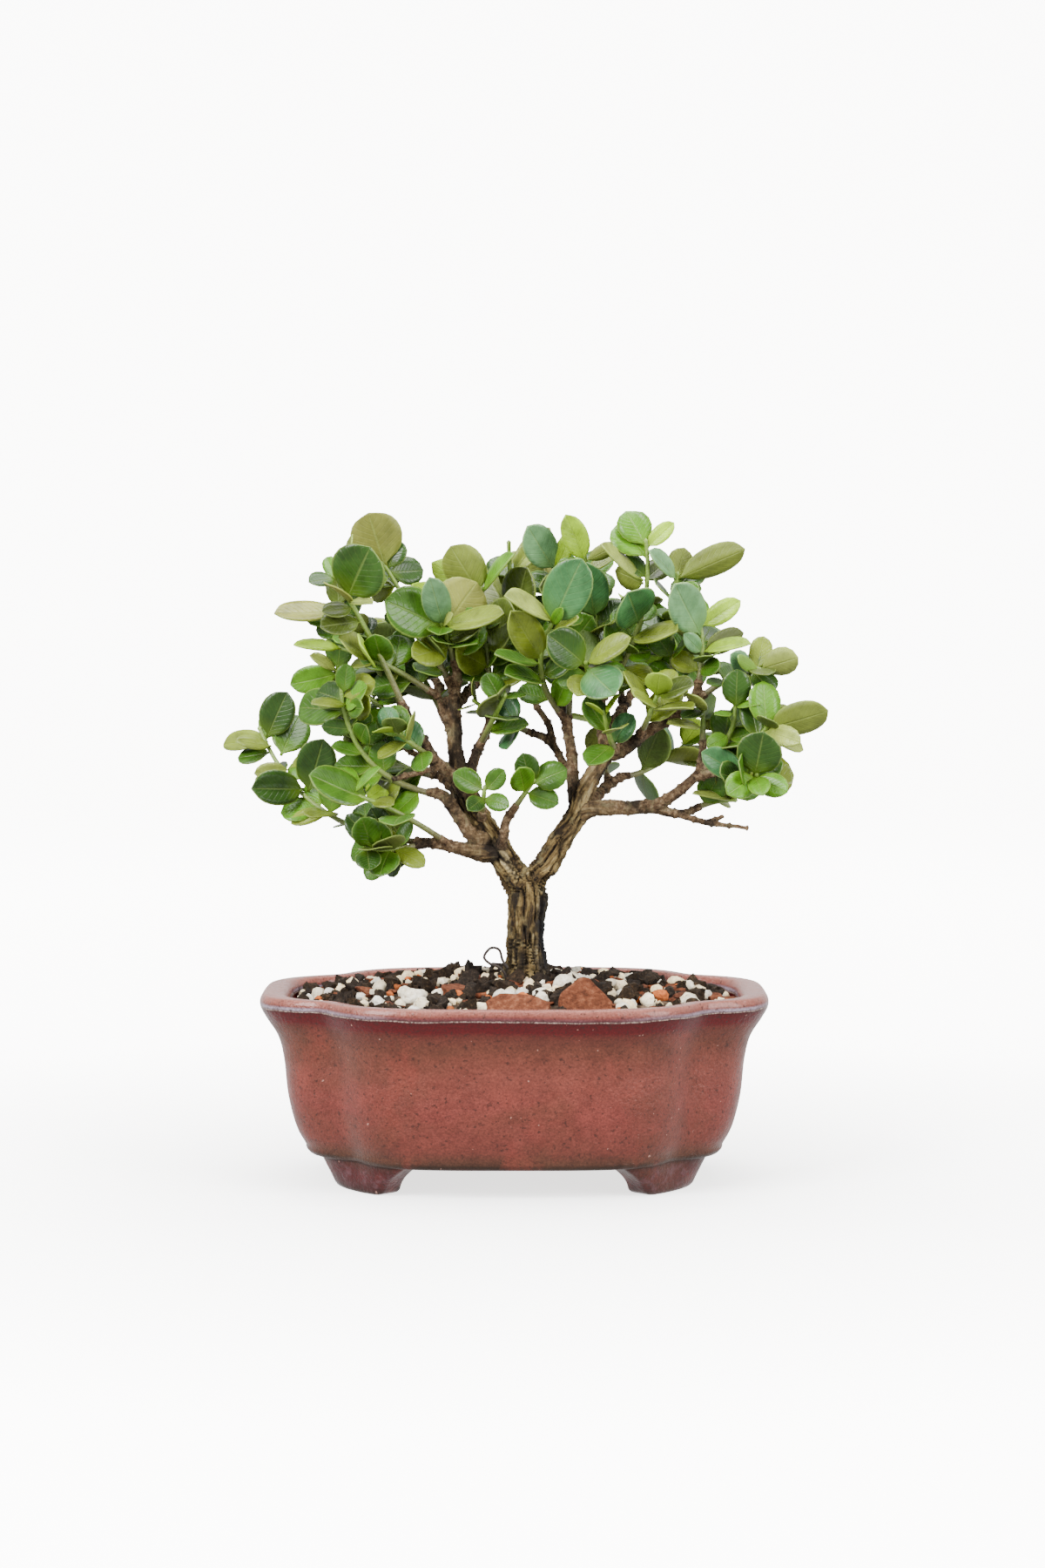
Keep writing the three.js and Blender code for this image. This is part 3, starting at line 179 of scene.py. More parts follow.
# Shoots with leaves listed one by one: the limb and the place on it, the tip, how far the middle of the stem
# stands off a straight line, and the leaves: place along the stem, tip, the way it faces, width over length
SET_SHOOTS = [
    ["far_left", "left_low", 3, [-80, 28, 136], [-6, 0, -8], [
        [0.95, [-71, 24, 148], "front", 0.72], [0.84, [-68, 30, 140], "front", 0.7],
        [0.93, [-92, 34, 131], "slant", 0.5], [0.9, [-87, 20, 133], "slant", 0.5],
        [0.76, [-81, 16, 123], "front", 0.5], [0.76, [-64, 18, 129], "up", 0.5],
        [0.64, [-81, 6, 119], "front", 0.62], [0.62, [-59, 10, 134], "front", 0.7],
        [0.48, [-69, 8, 108], "slant", 0.5], [0.46, [-62, -6, 111], "up", 0.6],
    ]],
    ["low_left", "left_low", 2, [-49, -15, 119], [0, -5, 2], [
        [0.82, [-61.5, -20, 125], "slant", 0.66], [0.98, [-40, -19, 127], "left", 0.5],
        [0.8, [-36, -21, 116], "up", 0.6], [0.85, [-40, -6, 120], "front", 0.7],
        [0.97, [-53, -10, 126], "front", 0.6],
    ]],
    ["low_left_end", "left_low", 3, [-45, -12, 102], [0, 0, -1], [
        [0.98, [-43.5, -19, 96], "front", 0.9], [0.9, [-46, -17, 112], "front", 0.8],
        [0.82, [-51, -8, 112], "front", 0.55], [0.55, [-27, -16, 97], "slant", 0.55],
        [0.5, [-31, -13, 110], "up", 0.6],
    ]],
    ["left_fan", "left_mid", 3, [-52.5, -8, 151], [-7, 0, -6], [
        [0.96, [-50.5, -10, 158], "front", 0.7], [0.8, [-43.5, -14, 148], "front", 0.8],
        [0.86, [-45, -19, 145], "left", 0.4], [0.9, [-60, 0, 149], "front", 0.8],
        [0.88, [-61, -16, 146], "up", 0.5], [0.84, [-66, 5, 144], "front", 0.6],
        [0.72, [-58.5, -5, 139], "front", 0.55], [0.64, [-44.5, -16, 139.5], "front", 0.75],
        [0.62, [-40, -3, 139], "front", 0.75], [0.56, [-55.5, -9, 133], "slant", 0.5],
    ]],
    ["tall_left", "left_high", 5, [-54, -10, 184], [0, 0, 2], [
        [0.84, [-43, -17, 193], "front", 0.98], [0.8, [-56, -21, 182], "up", 0.6],
        [0.8, [-42.5, -19, 176], "up", 0.6], [0.9, [-49, -5, 197], "left", 0.5],
        [0.97, [-57, -3, 190], "front", 0.5],
    ]],
    ["left_point", "left_high", 3.5, [-54.5, 1, 175], [0, 5, 0], [
        [0.97, [-73, -3, 173], "up", 0.55], [0.98, [-54, 3, 186], "front", 0.65],
        [0.8, [-45, 8, 172], "away", 0.7],
    ]],
    ["round_left", "left", 9.2, [-40, 4.5, 188], [-1, 0, 3], [
        [0.98, [-44.5, 1, 203.5], "away", 0.94], [0.92, [-28, 9, 186], "front", 0.85],
        [0.8, [-44, 10, 178], "front", 0.7], [0.6, [-26, 12, 176], "front", 0.8],
    ]],
    ["left_out", "left_twig", 2, [-53, -2, 162.5], [0, -4, 2], [
        [0.98, [-67, -6, 163.5], "up", 0.45], [0.7, [-53, -12, 166], "slant", 0.72],
        [0.68, [-48, -18, 161], "front", 0.6], [0.6, [-50, 6, 157], "up", 0.6],
        [0.45, [-35, 8, 166], "front", 0.7], [0.4, [-38, -9, 151], "slant", 0.7],
    ]],
    ["left_crown", "left", 10, [-22, -4, 169.5], [0, 0, 1], [
        [0.96, [-39, -12, 177], "front", 0.76], [0.98, [-25.5, -10, 184], "front", 0.5],
        [0.94, [-31, -3, 182], "front", 0.7], [0.98, [-3, -13, 173], "up", 0.5],
        [0.9, [-11.5, 5, 182.5], "away", 0.96], [0.98, [-16.5, -13, 176], "left", 0.45],
        [0.55, [-11, -10, 164], "slant", 0.6], [0.5, [-31, -8, 160], "front", 0.75],
    ]],
    ["centre_left", "left_inner", 4, [-10, 6, 180], [0, 2, 0], [
        [0.97, [-19.5, 4, 193.5], "away", 0.75], [0.98, [0, 1, 191], "left", 0.5],
        [0.93, [-25.5, 12, 188.5], "away", 0.45], [0.62, [-3, -7, 175], "front", 0.92],
        [0.35, [-18, -1, 162], "front", 0.8],
    ]],
    ["centre_top", "right_inner", 3, [-1.7, 4, 194], [-2, 1, 0], [
        [0.8, [-12, 0, 198], "front", 0.42], [0.82, [11, 8, 199], "front", 0.42],
        [0.66, [4, 14, 192], "away", 0.85], [0.55, [4, -9, 186], "up", 0.8],
        [0.42, [-1, -7, 184], "front", 0.8], [0.4, [10, 1, 184], "front", 0.6],
        [0.5, [-10, 15, 186], "front", 0.65], [0.25, [-8, -2, 166], "up", 0.7],
    ]],
    ["hero", "right_up", 4, [12, -12, 171], [-6, -2, 0], [
        [0.97, [20.3, -21, 189.5], "front", 0.62], [0.98, [-3, -22, 178.5], "up", 0.5],
        [0.98, [10, -17, 177], "front", 0.5], [0.96, [14.6, -17, 175], "front", 0.45],
        [0.9, [19.5, -16, 172], "up", 0.5], [0.62, [-1, -18, 174], "front", 0.5],
        [0.58, [-6, -16, 161], "up", 0.45], [0.4, [-3, -14, 155], "up", 0.55],
    ]],
    ["centre_right", "right_crown", 4, [21.6, -12, 158], [-1, -2, 1], [
        [0.97, [10, -19, 167], "front", 0.74], [0.96, [35, -17, 166], "slant", 0.5],
        [0.88, [21, -1, 168], "away", 0.7], [0.86, [30, -23, 149], "front", 0.8],
        [0.7, [13, -8, 152], "front", 0.7], [0.5, [34, -6, 156], "slant", 0.7],
    ]],
    ["top_left", "right_up", 3.4, [12.3, 7, 187.5], [2, 4, 0], [
        [0.98, [4, 2, 199.5], "front", 0.62], [0.98, [18, 0, 198], "front", 0.45],
        [0.86, [5, 14, 192], "away", 0.7], [0.8, [7.5, -3, 181], "front", 0.8],
        [0.5, [24, 2, 172], "front", 0.8],
    ]],
    ["top_right", "right_crown", 3.5, [21.6, 3, 190], [1, 3, 0], [
        [0.98, [15.6, -2, 203], "front", 0.5], [0.98, [31.5, 0, 194], "away", 0.45],
        [0.9, [30, 9, 190], "up", 0.5], [0.9, [13, 4, 188], "front", 0.62],
        [0.6, [22, -5, 188.5], "front", 0.55], [0.3, [16, -4, 160], "slant", 0.8],
    ]],
    ["right_tall", "right_crown", 4, [40, -4, 194.5], [5, -2, 0], [
        [0.98, [34, 2, 204], "front", 0.8], [0.97, [48.5, 0, 200.5], "front", 0.5],
        [0.76, [26, -11, 194], "up", 0.45], [0.76, [46, 5, 188], "front", 0.7],
        [0.74, [31, 8, 186], "away", 0.65], [0.5, [34, -15, 179.5], "front", 0.9],
        [0.4, [49, -16, 168], "slant", 0.5], [0.28, [42, 4, 161], "front", 0.7],
        [0.2, [43, -13, 155], "slant", 0.6],
    ]],
    ["right_slant", "right_out", 6, [49.7, 0, 184.5], [-2, 4, 0], [
        [0.97, [35, -10, 198], "slant", 0.5], [0.97, [52, 8, 193], "away", 0.8],
        [0.98, [70, -4, 192.5], "away", 0.42], [0.9, [56, -7, 180], "front", 0.6],
        [0.6, [60, 6, 172], "away", 0.75], [0.4, [42, 2, 168], "front", 0.8],
    ]],
    ["right_upper", "right_out", 8, [56.5, -6, 169.5], [1, 0, 0], [
        [0.86, [46, -15, 179], "front", 0.58], [0.98, [68.5, -8, 177], "front", 0.5],
        [0.98, [54, 3, 178], "front", 0.7], [0.6, [51, -11, 167], "front", 0.55],
        [0.62, [70, 1, 167], "away", 0.5], [0.6, [71.5, -11, 164], "up", 0.45],
        [0.35, [62, -16, 157], "front", 0.55], [0.32, [48, 2, 160], "front", 0.7],
    ]],
    ["right_arch", "right_out", 7, [75, -10, 156], [3, 0, 4], [
        [0.96, [85.5, -14, 160], "away", 0.75], [0.88, [76, -3, 166], "front", 0.6],
        [0.72, [65, -15, 161], "front", 0.7], [0.94, [67, -19, 160], "left", 0.4],
        [0.6, [68, 2, 148], "up", 0.7], [0.4, [58, -16, 152], "slant", 0.6],
    ]],
    ["right_mid", "right_rise", 4, [66.5, -14, 145.5], [3, -1, 0], [
        [0.97, [67, -17, 156.5], "front", 0.76], [0.97, [74, -19, 146], "up", 0.5],
        [0.88, [60, -19, 143], "up", 0.45], [0.55, [58, -18, 133], "front", 0.6],
    ]],
    ["right_short", "right_rise", 5, [57.4, -5, 143.5], [0, 0, 0], [
        [0.96, [50.5, -14, 141.5], "up", 0.5], [0.6, [46, -8, 140], "up", 0.45],
        [0.55, [62, -1, 140.5], "front", 0.6], [0.97, [53, -14, 149], "up", 0.45],
        [0.9, [62, 6, 147], "away", 0.7],
    ]],
    ["right_far", "right_reach", 2, [76, -20, 139.5], [0, 0, 1], [
        [0.97, [93.5, -26, 144.5], "away", 0.56], [0.86, [85, -30, 135], "front", 0.5],
        [0.8, [87, -16, 132], "up", 0.45], [0.6, [71, -12, 147.5], "front", 0.62],
        [0.55, [84, -10, 138], "away", 0.6],
    ]],
    ["right_round", "right_reach", 1.6, [72, -26, 125], [0, -1, -2], [
        [0.97, [74, -31, 138.5], "front", 0.95], [0.97, [81, -32, 120.5], "front", 0.66],
        [0.97, [63, -34, 120], "front", 0.7], [0.97, [71.5, -34, 117], "front", 0.55],
        [0.55, [56, -23, 132], "front", 0.55], [0.5, [61, -27, 126], "front", 0.7],
        [0.3, [61.5, -18, 139], "front", 0.7],
    ]],
    ["right_low_tip", "right_tip", 2, [67, -2, 116], [0, 0, 1], [
        [0.95, [54, -9, 118.5], "up", 0.35], [0.3, [49, -14, 124], "left", 0.4],
        [0.9, [72, -9, 121], "slant", 0.6],
    ]],
    ["centre_front", "centre_twig", 3, [5.7, -8, 122], [0, 0, 0], [
        [0.96, [2.5, -12, 131], "front", 0.75], [0.96, [16, -10, 126], "front", 0.8],
        [0.7, [13.5, -14, 115.5], "front", 0.7], [0.7, [-0.5, -15, 124], "front", 0.6],
    ]],
    ["centre_low", "left", 4, [-9, -10, 120], [0, -3, 0], [
        [0.96, [-3, -12, 126], "front", 0.7], [0.96, [-18.5, -12, 125], "front", 0.7],
        [0.75, [-1.5, -15, 115], "front", 0.6], [0.75, [-14, -17, 114], "front", 0.6],
    ]],
    ["left_pale", "left_high", 3, [-55.5, 10, 155.5], [0, 2, 0], [
        [0.97, [-63, 7, 160], "up", 0.5], [0.95, [-67, 4, 154], "front", 0.6],
        [0.85, [-61, 12, 148], "away", 0.7], [0.5, [-45, 12, 144], "front", 0.8],
    ]],
]

# Shoots whose leaves stand in crossed pairs: limb, place, tip, stand-off, pairs, leaf length, first turn
PAIRED_SHOOTS = [
    ["left_inside", "left_twig", 1.2, [-31, 14, 158], [0, 2, 0], 3, 12, 20],
    ["left_front", "left_high", 2, [-36, -16, 138], [0, -3, 0], 3, 12, 70],
    ["middle_left", "right_fork", 4, [-12, 1, 146], [0, 0, -1], 3, 11, 40],
    ["middle_front", "left_inner", 2, [-3, -11, 148], [0, -2, 0], 3, 12, 10],
    ["middle_right", "right_out", 1, [27, -16, 143], [0, -2, -2], 3, 12, 30],
    ["outer_front", "right_out", 3, [43, -18, 149], [0, -3, 0], 3, 14, 60],
    ["back_left_a", "back_left", 2, [-42, 43, 160], [0, 0, 3], 3, 14, 15],
    ["back_left_b", "back_left", 1.2, [-23, 40, 174], [2, 2, 0], 2, 14, 50],
    ["back_centre_a", "back_centre_left", 2, [-4, 42, 172], [0, 3, 0], 3, 14, 0],
    ["back_centre_c", "back_centre_right", 2, [12, 44, 168], [0, 2, -2], 2, 14, 35],
    ["back_centre_d", "back_centre_right", 1.5, [20, 30, 184], [0, 3, 0], 3, 14, 65],
    ["back_right_a", "back_right", 2, [57, 37, 160], [0, 0, 3], 3, 14, 20],
    ["back_right_b", "back_right", 1.2, [38, 40, 174], [-2, 2, 0], 2, 14, 55],
    ["back_low_a", "back_low_left", 2, [-44, 40, 130], [0, 0, -2], 2, 14, 40],
    ["back_low_c", "back_low_right", 2, [54, 36, 131], [0, 0, -2], 3, 14, 45],
    ["back_low_d", "back_low_right", 1.5, [26, 45, 138], [0, 2, 0], 2, 13, 75],
]

# Where a leaf crossed another shoot it bent to one of these: a shift of its tip, a share of its length
LEAF_BENDS = [
    [[0, 0, 0], 1], [[0, -4, 0], 1], [[0, 4, 0], 1], [[2, -3, 3], 1], [[-2, 3, -3], 1], [[0, -8, 1], 1],
    [[0, 8, 1], 1], [[-4, 0, 3], 1], [[4, 0, -3], 1], [[0, -3, 2], 0.8], [[0, 3, -2], 0.8], [[0, 0, 5], 0.8],
    [[4, 4, 0], 0.7], [[-4, -4, 0], 0.7], [[0, 0, 0], 0.6],
]

# Outlines of the flat chips, in shares of their length and width
SLAB = [
    [-0.36, -0.5], [0.4, -0.5], [0.5, -0.02], [0.3, 0.2], [0.1, 0.48], [-0.06, 0.5], [-0.42, 0.2],
    [-0.48, 0],
]
CHIP_EDGE = [
    [-0.42, -0.38], [0.1, -0.5], [0.44, -0.34], [0.5, 0.08], [0.22, 0.46], [-0.28, 0.5], [-0.5, 0.14],
]

# Loose pieces in the top of the soil: name, kind, place, length, width, height, turn, tilt and outline
LOOSE = [
    ["chip_front", "barkChip", 21, -35.5, 17, 15.6, 3.4, 8, 68, SLAB],
    ["chip_long", "barkChip", 1, -38, 20, 9, 3.2, -4, 42, CHIP_EDGE],
    ["chip_left", "barkChip", -18, -22, 9, 7, 3.6, 30, 10, CHIP_EDGE],
    ["stone_trunk", "pumice", 15, -13, 7, 6.4, 6.2, 20, 0, None],
    ["stone_front", "pumice", 8.6, -30.2, 5.4, 5, 5, 50, 0, None],
    ["stone_left", "pumice", -30, -25, 8, 7, 5.6, 10, 0, None],
    ["clay_front", "clay", 2.6, -30.2, 5.4, 4.6, 4.6, 0, 0, None],
    ["clay_right", "clay", 44, -17, 5.6, 5, 4.2, 35, 0, None],
]

# The colour of each leaf of the listed shoots, in the order of its leaves, then those of the others
# A leaf's letter sets its light and shade along with its own green, so light and shade are painted into it.
TINTS = {
    "far_left": "dgoopoddoo", "low_left": "gfolf", "low_left_end": "dgdog", "left_fan": "gogdogdggg",
    "tall_left": "dypof", "left_point": "yko", "round_left": "ydoo", "left_out": "lplofo",
    "left_crown": "gcloypgo", "centre_left": "oflkog", "centre_top": "ppokddoo", "hero": "bplfoogg",
    "centre_right": "dogbgg", "top_left": "clykg", "top_right": "lpogbo", "right_tall": "flpkobofo",
    "right_slant": "coogog", "right_upper": "clfcklgo", "right_arch": "pocfog", "right_mid": "dfff",
    "right_short": "dpppf", "right_far": "oppdo", "right_round": "dfffbdo", "right_low_tip": "pok",
    "centre_front": "dggf", "centre_low": "gggd", "left_pale": "pfof",
}
BACK_TINTS = "dgofkgbo"
# Mostly dark letters for the filling leaves: painted shade deep in the crown.
FILL_TINTS = "dgdkgogdfg"
# b and c are bluish greens that paint glare; l and p are the light green of young leaves, brightened to paint
# light shining through; the dark d, k and g also serve as painted shade.
LEAF_COLOURS = {
    "d": (0.019, 0.050, 0.006), "k": (0.040, 0.058, 0.008), "g": (0.036, 0.095, 0.007),
    "f": (0.062, 0.165, 0.006), "b": (0.036, 0.112, 0.036), "o": (0.110, 0.145, 0.012),
    "l": (0.220, 0.360, 0.012), "p": (0.200, 0.245, 0.044), "y": (0.165, 0.170, 0.024),
    "c": (0.095, 0.205, 0.085),
}


# Numbers and shares
WORD = 0xFFFFFFFF


def draw(seed):
    """Numbers drawn from whole-number seeds, the same on every run"""
    a = (seed + 0x6D2B79F5) & WORD
    t = ((a ^ (a >> 15)) * (a | 1)) & WORD
    t ^= (t + (((t ^ (t >> 7)) * (t | 61)) & WORD)) & WORD
    return (t ^ (t >> 14)) / (WORD + 1)


def swing(seed, width):
    return (draw(seed) - 0.5) * width


def mix(low, high, share):
    return low + (high - low) * share


def step_up(low, high, value):
    share = np.clip((value - low) / (high - low), 0, 1)
    return share * share * (3 - 2 * share)


def unit(v):
    return v / np.linalg.norm(v)


# Work on one piece
def deselect():
    bpy.ops.object.select_all(action="DESELECT")


def only(piece):
    deselect()
    piece.select_set(True)
    bpy.context.view_layer.objects.active = piece


@contextmanager
def edited(piece):
    """Edit mode on one piece, with all of it selected"""
    only(piece)
    bpy.ops.object.mode_set(mode="EDIT")
    bpy.ops.mesh.select_all(action="SELECT")
    yield
    bpy.ops.object.mode_set(mode="OBJECT")


def apply_modifier(piece, kind, **values):
    only(piece)
    modifier = piece.modifiers.new(kind.lower(), kind)
    for key, value in values.items():
        setattr(modifier, key, value)
    bpy.ops.object.modifier_apply(modifier=modifier.name)


def shape_with(piece, operation, other):
    """Another solid joined to the piece or cut out of it"""
    apply_modifier(piece, "BOOLEAN", operation=operation, object=other, solver="EXACT")
    bpy.data.objects.remove(other)


def joined(pieces, name):
    deselect()
    for piece in pieces:
        piece.select_set(True)
    bpy.context.view_layer.objects.active = pieces[0]
    bpy.ops.object.join()
    pieces[0].name = name
    return pieces[0]


def copied(master, matrix):
    piece = master.copy()
    piece.data = master.data.copy()
    piece.data.transform(matrix)
    scene.collection.objects.link(piece)
    return piece


def place_vertices(piece, points):
    piece.data.vertices.foreach_set("co", np.asarray(points, np.float32).ravel())
    piece.data.update()


def vertex_places(piece):
    points = np.empty(len(piece.data.vertices) * 3, np.float32)
    piece.data.vertices.foreach_get("co", points)
    return points.reshape(-1, 3).astype(float)


def kept_in_box(piece):
    place_vertices(piece, np.clip(vertex_places(piece), box_low, box_high))


def tinted(piece, colour):
    """The piece's colour, held in its mesh; on leaves it carries painted light and shade too"""
    held = piece.data.color_attributes.new("tint", "FLOAT_COLOR", "POINT")
    held.data.foreach_set("color", [*colour, 1] * len(piece.data.vertices))


def coated(piece, *materials):
    piece.data.materials.clear()
    for material in materials:
        piece.data.materials.append(material)


def finish_piece(piece, material_slot, *nodes, smooth=None):
    only(piece)
    if smooth is not None:
        bpy.ops.object.shade_smooth_by_angle(angle=math.radians(smooth))
    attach(piece, "root")
    if nodes:
        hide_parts(*nodes)


# Finishes
class Finish:
    """A material and short calls that add nodes to it; a grain lies in the object's own place"""

    def __init__(self, name, roughness, **sockets):
        self.material = bpy.data.materials.new(name)
        self.material.use_nodes = True
        self.nodes = self.material.node_tree.nodes
        self.links = self.material.node_tree.links
        self.shader = self.nodes["Principled BSDF"]
        for key, value in {"Roughness": roughness, **sockets}.items():
            self.shader.inputs[key.replace("_", " ")].default_value = value
        self.here = self.place()

    def node(self, kind, **values):
        made = self.nodes.new(kind)
        for key, value in values.items():
            setattr(made, key, value)
        return made

    def feed(self, target, value):
        if isinstance(value, bpy.types.NodeSocket):
            self.links.new(value, target)
        else:
            target.default_value = (*value, 1) if isinstance(value, tuple) else value

    def place(self, stretch=(1, 1, 1)):
        mapping = self.node("ShaderNodeMapping")
        mapping.inputs["Scale"].default_value = stretch
        self.feed(mapping.inputs["Vector"], self.node("ShaderNodeTexCoord").outputs["Object"])
        return mapping.outputs["Vector"]

    def attribute(self, name, output="Fac"):
        return self.node("ShaderNodeAttribute", attribute_name=name).outputs[output]

    def split(self, vector):
        made = self.node("ShaderNodeSeparateXYZ")
        self.feed(made.inputs[0], vector)
        return made.outputs

    def grain(self, scale, detail=3.0, roughness=0.55, distortion=0.0, at=None):
        made = self.node("ShaderNodeTexNoise")
        self.feed(made.inputs["Vector"], self.here if at is None else at)
        for key, value in zip(("Scale", "Detail", "Roughness", "Distortion"),
                              (scale, detail, roughness, distortion)):
            made.inputs[key].default_value = value
        return made.outputs["Fac"]

    def ramp(self, value, *stops):
        made = self.node("ShaderNodeValToRGB")
        self.feed(made.inputs["Fac"], value)
        elements = made.color_ramp.elements
        while len(elements) < len(stops):
            elements.new(0.5)
        for element, (position, colour) in zip(elements, stops):
            element.position = position
            element.color = (*(colour if isinstance(colour, tuple) else (colour,) * 3), 1)
        return made.outputs["Color"]

    def math(self, operation, a, b=0.0):
        made = self.node("ShaderNodeMath", operation=operation)
        self.feed(made.inputs[0], a)
        self.feed(made.inputs[1], b)
        return made.outputs[0]

    def times(self, a, b):
        return self.math("MULTIPLY", a, b)

    def blend(self, share, a, b, kind="MIX"):
        made = self.node("ShaderNodeMix", data_type="RGBA", blend_type=kind)
        self.feed(made.inputs["Factor"], share)
        self.feed(made.inputs[6], a)
        self.feed(made.inputs[7], b)
        return made.outputs[2]

    def shaded(self, coat, share, stops, *grain):
        """The coat made lighter and darker by a grain"""
        return self.blend(share, coat, self.ramp(self.grain(*grain), *stops), "MULTIPLY")

    def spotted(self, coat, colour, share, low, high, *grain, **where):
        """The coat with a colour laid over it where a grain is high"""
        spots = self.ramp(self.grain(*grain, **where), (low, 0.0), (high, 1.0))
        return self.blend(self.times(spots, share), coat, colour)

    def colour(self, value):
        self.feed(self.shader.inputs["Base Color"], value)

    def rough(self, value):
        self.feed(self.shader.inputs["Roughness"], value)

    def bump(self, height, distance, strength=1.0):
        made = self.node("ShaderNodeBump")
        made.inputs["Distance"].default_value = distance
        made.inputs["Strength"].default_value = strength
        self.feed(made.inputs["Height"], height)
        self.feed(self.shader.inputs["Normal"], made.outputs["Normal"])


# The glaze's colours by height: dark glossy feet with blue-purple specks of painted highlight, a brown line
# under the ledge and brick red on the bowl, then oxblood under the rim, made darker still by painted shade
# under the rolled rim, painted glints of lamp light and a milky blue line at its edge that is partly a
# painted highlight, and pinkish brown on top.
BOWL_ZONES = [
    (0, (0.014, 0.007, 0.004)), (1.5, (0.026, 0.004, 0.004)), (5, (0.046, 0.004, 0.005)),
    (8.6, (0.030, 0.004, 0.003)), (10.3, (0.016, 0.008, 0.004)), (12.4, (0.064, 0.022, 0.013)),
    (15, (0.100, 0.024, 0.017)), (26, (0.124, 0.026, 0.020)), (38, (0.118, 0.029, 0.020)),
    (46, (0.086, 0.025, 0.015)), (50, (0.076, 0.018, 0.012)),
]
# Under the rolled rim the oxblood runs to near-black: the glaze's own dark red with painted shade on the
# rim's underside.
RIM_ZONES = [
    (49.5, (0.074, 0.014, 0.009)), (51.2, (0.062, 0.003, 0.004)), (53.6, (0.048, 0.002, 0.003)),
    (54.8, (0.024, 0.002, 0.003)), (55.6, (0.085, 0.014, 0.012)), (56.5, (0.15, 0.046, 0.034)),
    (58.2, (0.20, 0.070, 0.052)),
]
RIM_START = [(49, 0.0), (51.5, 1.0)]
# Painted glints: a thin broken pale line just under the rim's edge that paints the lamps' reflection.
PAINTED_GLINT_LINE = [(54.35, 0.0), (54.6, 0.6), (54.85, 0.0)]
# A milky blue line at the rim's edge: partly the glaze's own thin blue, partly a painted highlight.
MILKY_SHEEN_LINE = [(54.7, 0.0), (55.15, 0.85), (55.5, 0.85), (56.1, 0.0)]
# Blue-purple specks low on the feet: painted speckled highlights on the dark glaze.
FOOT_SHEEN_SPECKS = [(7.4, 0.55), (9.4, 0.0)]
GLAZE_TOP = 58.2


def oxblood_glaze():
    finish = Finish("oxblood_glaze", 0.3, Coat_Weight=0.16, Coat_Roughness=0.08, Specular_IOR_Level=0.25,
                    Specular_Tint=(1, 0.75, 0.70, 1), Coat_Tint=(1, 0.9, 0.86, 1))
    along, _, up = finish.split(finish.here)
    wander = finish.times(finish.math("SUBTRACT", finish.grain(45, 4), 0.5), 0.0022)
    level = finish.math("DIVIDE", finish.math("ADD", up, wander), GLAZE_TOP * MM)

    def by_height(zones):
        return finish.ramp(level, *[(z / GLAZE_TOP, value) for z, value in zones])

    coat = finish.shaded(by_height(BOWL_ZONES), 1.0, [(0.3, 0.66), (0.5, 1.0), (0.7, 1.25)], 130, 8, 0.72)
    coat = finish.spotted(coat, (0.060, 0.024, 0.012), 0.42, 0.48, 0.68, 34, 5, 0.6, 0.6,
                          at=finish.place((1, 1, 1.8)))
    coat = finish.spotted(coat, (0.19, 0.030, 0.022), 0.3, 0.55, 0.7, 52, 4, 0.6,
                          at=finish.place((1.4, 1.4, 1)))
    on_rim = by_height(RIM_START)
    coat = finish.blend(on_rim, coat, by_height(RIM_ZONES))
    # The milky line, partly a painted highlight, is patchy and grows towards the pot's ends.
    to_ends = finish.ramp(finish.math("ABSOLUTE", along), (0.030, 0.12), (0.060, 1.0))
    patchy = finish.ramp(finish.grain(90, 4, 0.6), (0.35, 0.35), (0.6, 1.0))
    line = finish.times(by_height(MILKY_SHEEN_LINE), finish.times(to_ends, patchy))
    coat = finish.blend(line, coat, (0.24, 0.21, 0.26))
    # Painted glints of lamp light along the rim's edge, broken into specks.
    broken = finish.ramp(finish.grain(1300, 4, 0.7), (0.42, 0.2), (0.6, 1.0))
    coat = finish.blend(finish.times(by_height(PAINTED_GLINT_LINE), broken), coat, (0.62, 0.50, 0.42))
    # Painted highlights: blue-purple specks on the feet.
    coat = finish.spotted(coat, (0.080, 0.036, 0.042), by_height(FOOT_SHEEN_SPECKS), 0.5, 0.62, 330, 5, 0.7)
    coat = finish.shaded(coat, 0.8, [(0.4, 0.72), (0.6, 1.12)], 1500, 3, 0.6)
    coat = finish.spotted(coat, (0.022, 0.008, 0.006), 0.7, 0.6, 0.66, 760, 3, 0.6)
    coat = finish.spotted(coat, (0.36, 0.20, 0.16), 0.6, 0.775, 0.80, 640, 1, 0.4)
    finish.colour(coat)
    satin = finish.ramp(finish.grain(210, 4), (0.3, 0.26), (0.7, 0.48))
    finish.rough(finish.blend(on_rim, satin, (0.16, 0.16, 0.16)))
    finish.bump(finish.math("ADD", finish.grain(900, 4, 0.6), finish.grain(160, 3, 0.5)), 0.0005, 0.7)
    return finish.material


def potting_mix():
    finish = Finish("potting_mix", 0.95, Specular_IOR_Level=0.15)
    finish.colour(finish.ramp(
        finish.grain(420, 6, 0.7), (0.25, (0.014, 0.010, 0.007)), (0.48, (0.050, 0.034, 0.022)),
        (0.6, (0.12, 0.075, 0.046)), (0.74, (0.30, 0.23, 0.16))))
    finish.bump(finish.grain(900, 5, 0.7), 0.0012)
    return finish.material


def mineral(name, scale, depth, *stops):
    finish = Finish(name, 0.92, Specular_IOR_Level=0.15)
    shade = finish.ramp(finish.grain(scale, 6, 0.7), *stops)
    finish.colour(finish.blend(1.0, shade, finish.attribute("tint", "Color"), "MULTIPLY"))
    finish.bump(finish.grain(scale * 2.2, 4, 0.7), depth)
    return finish.material


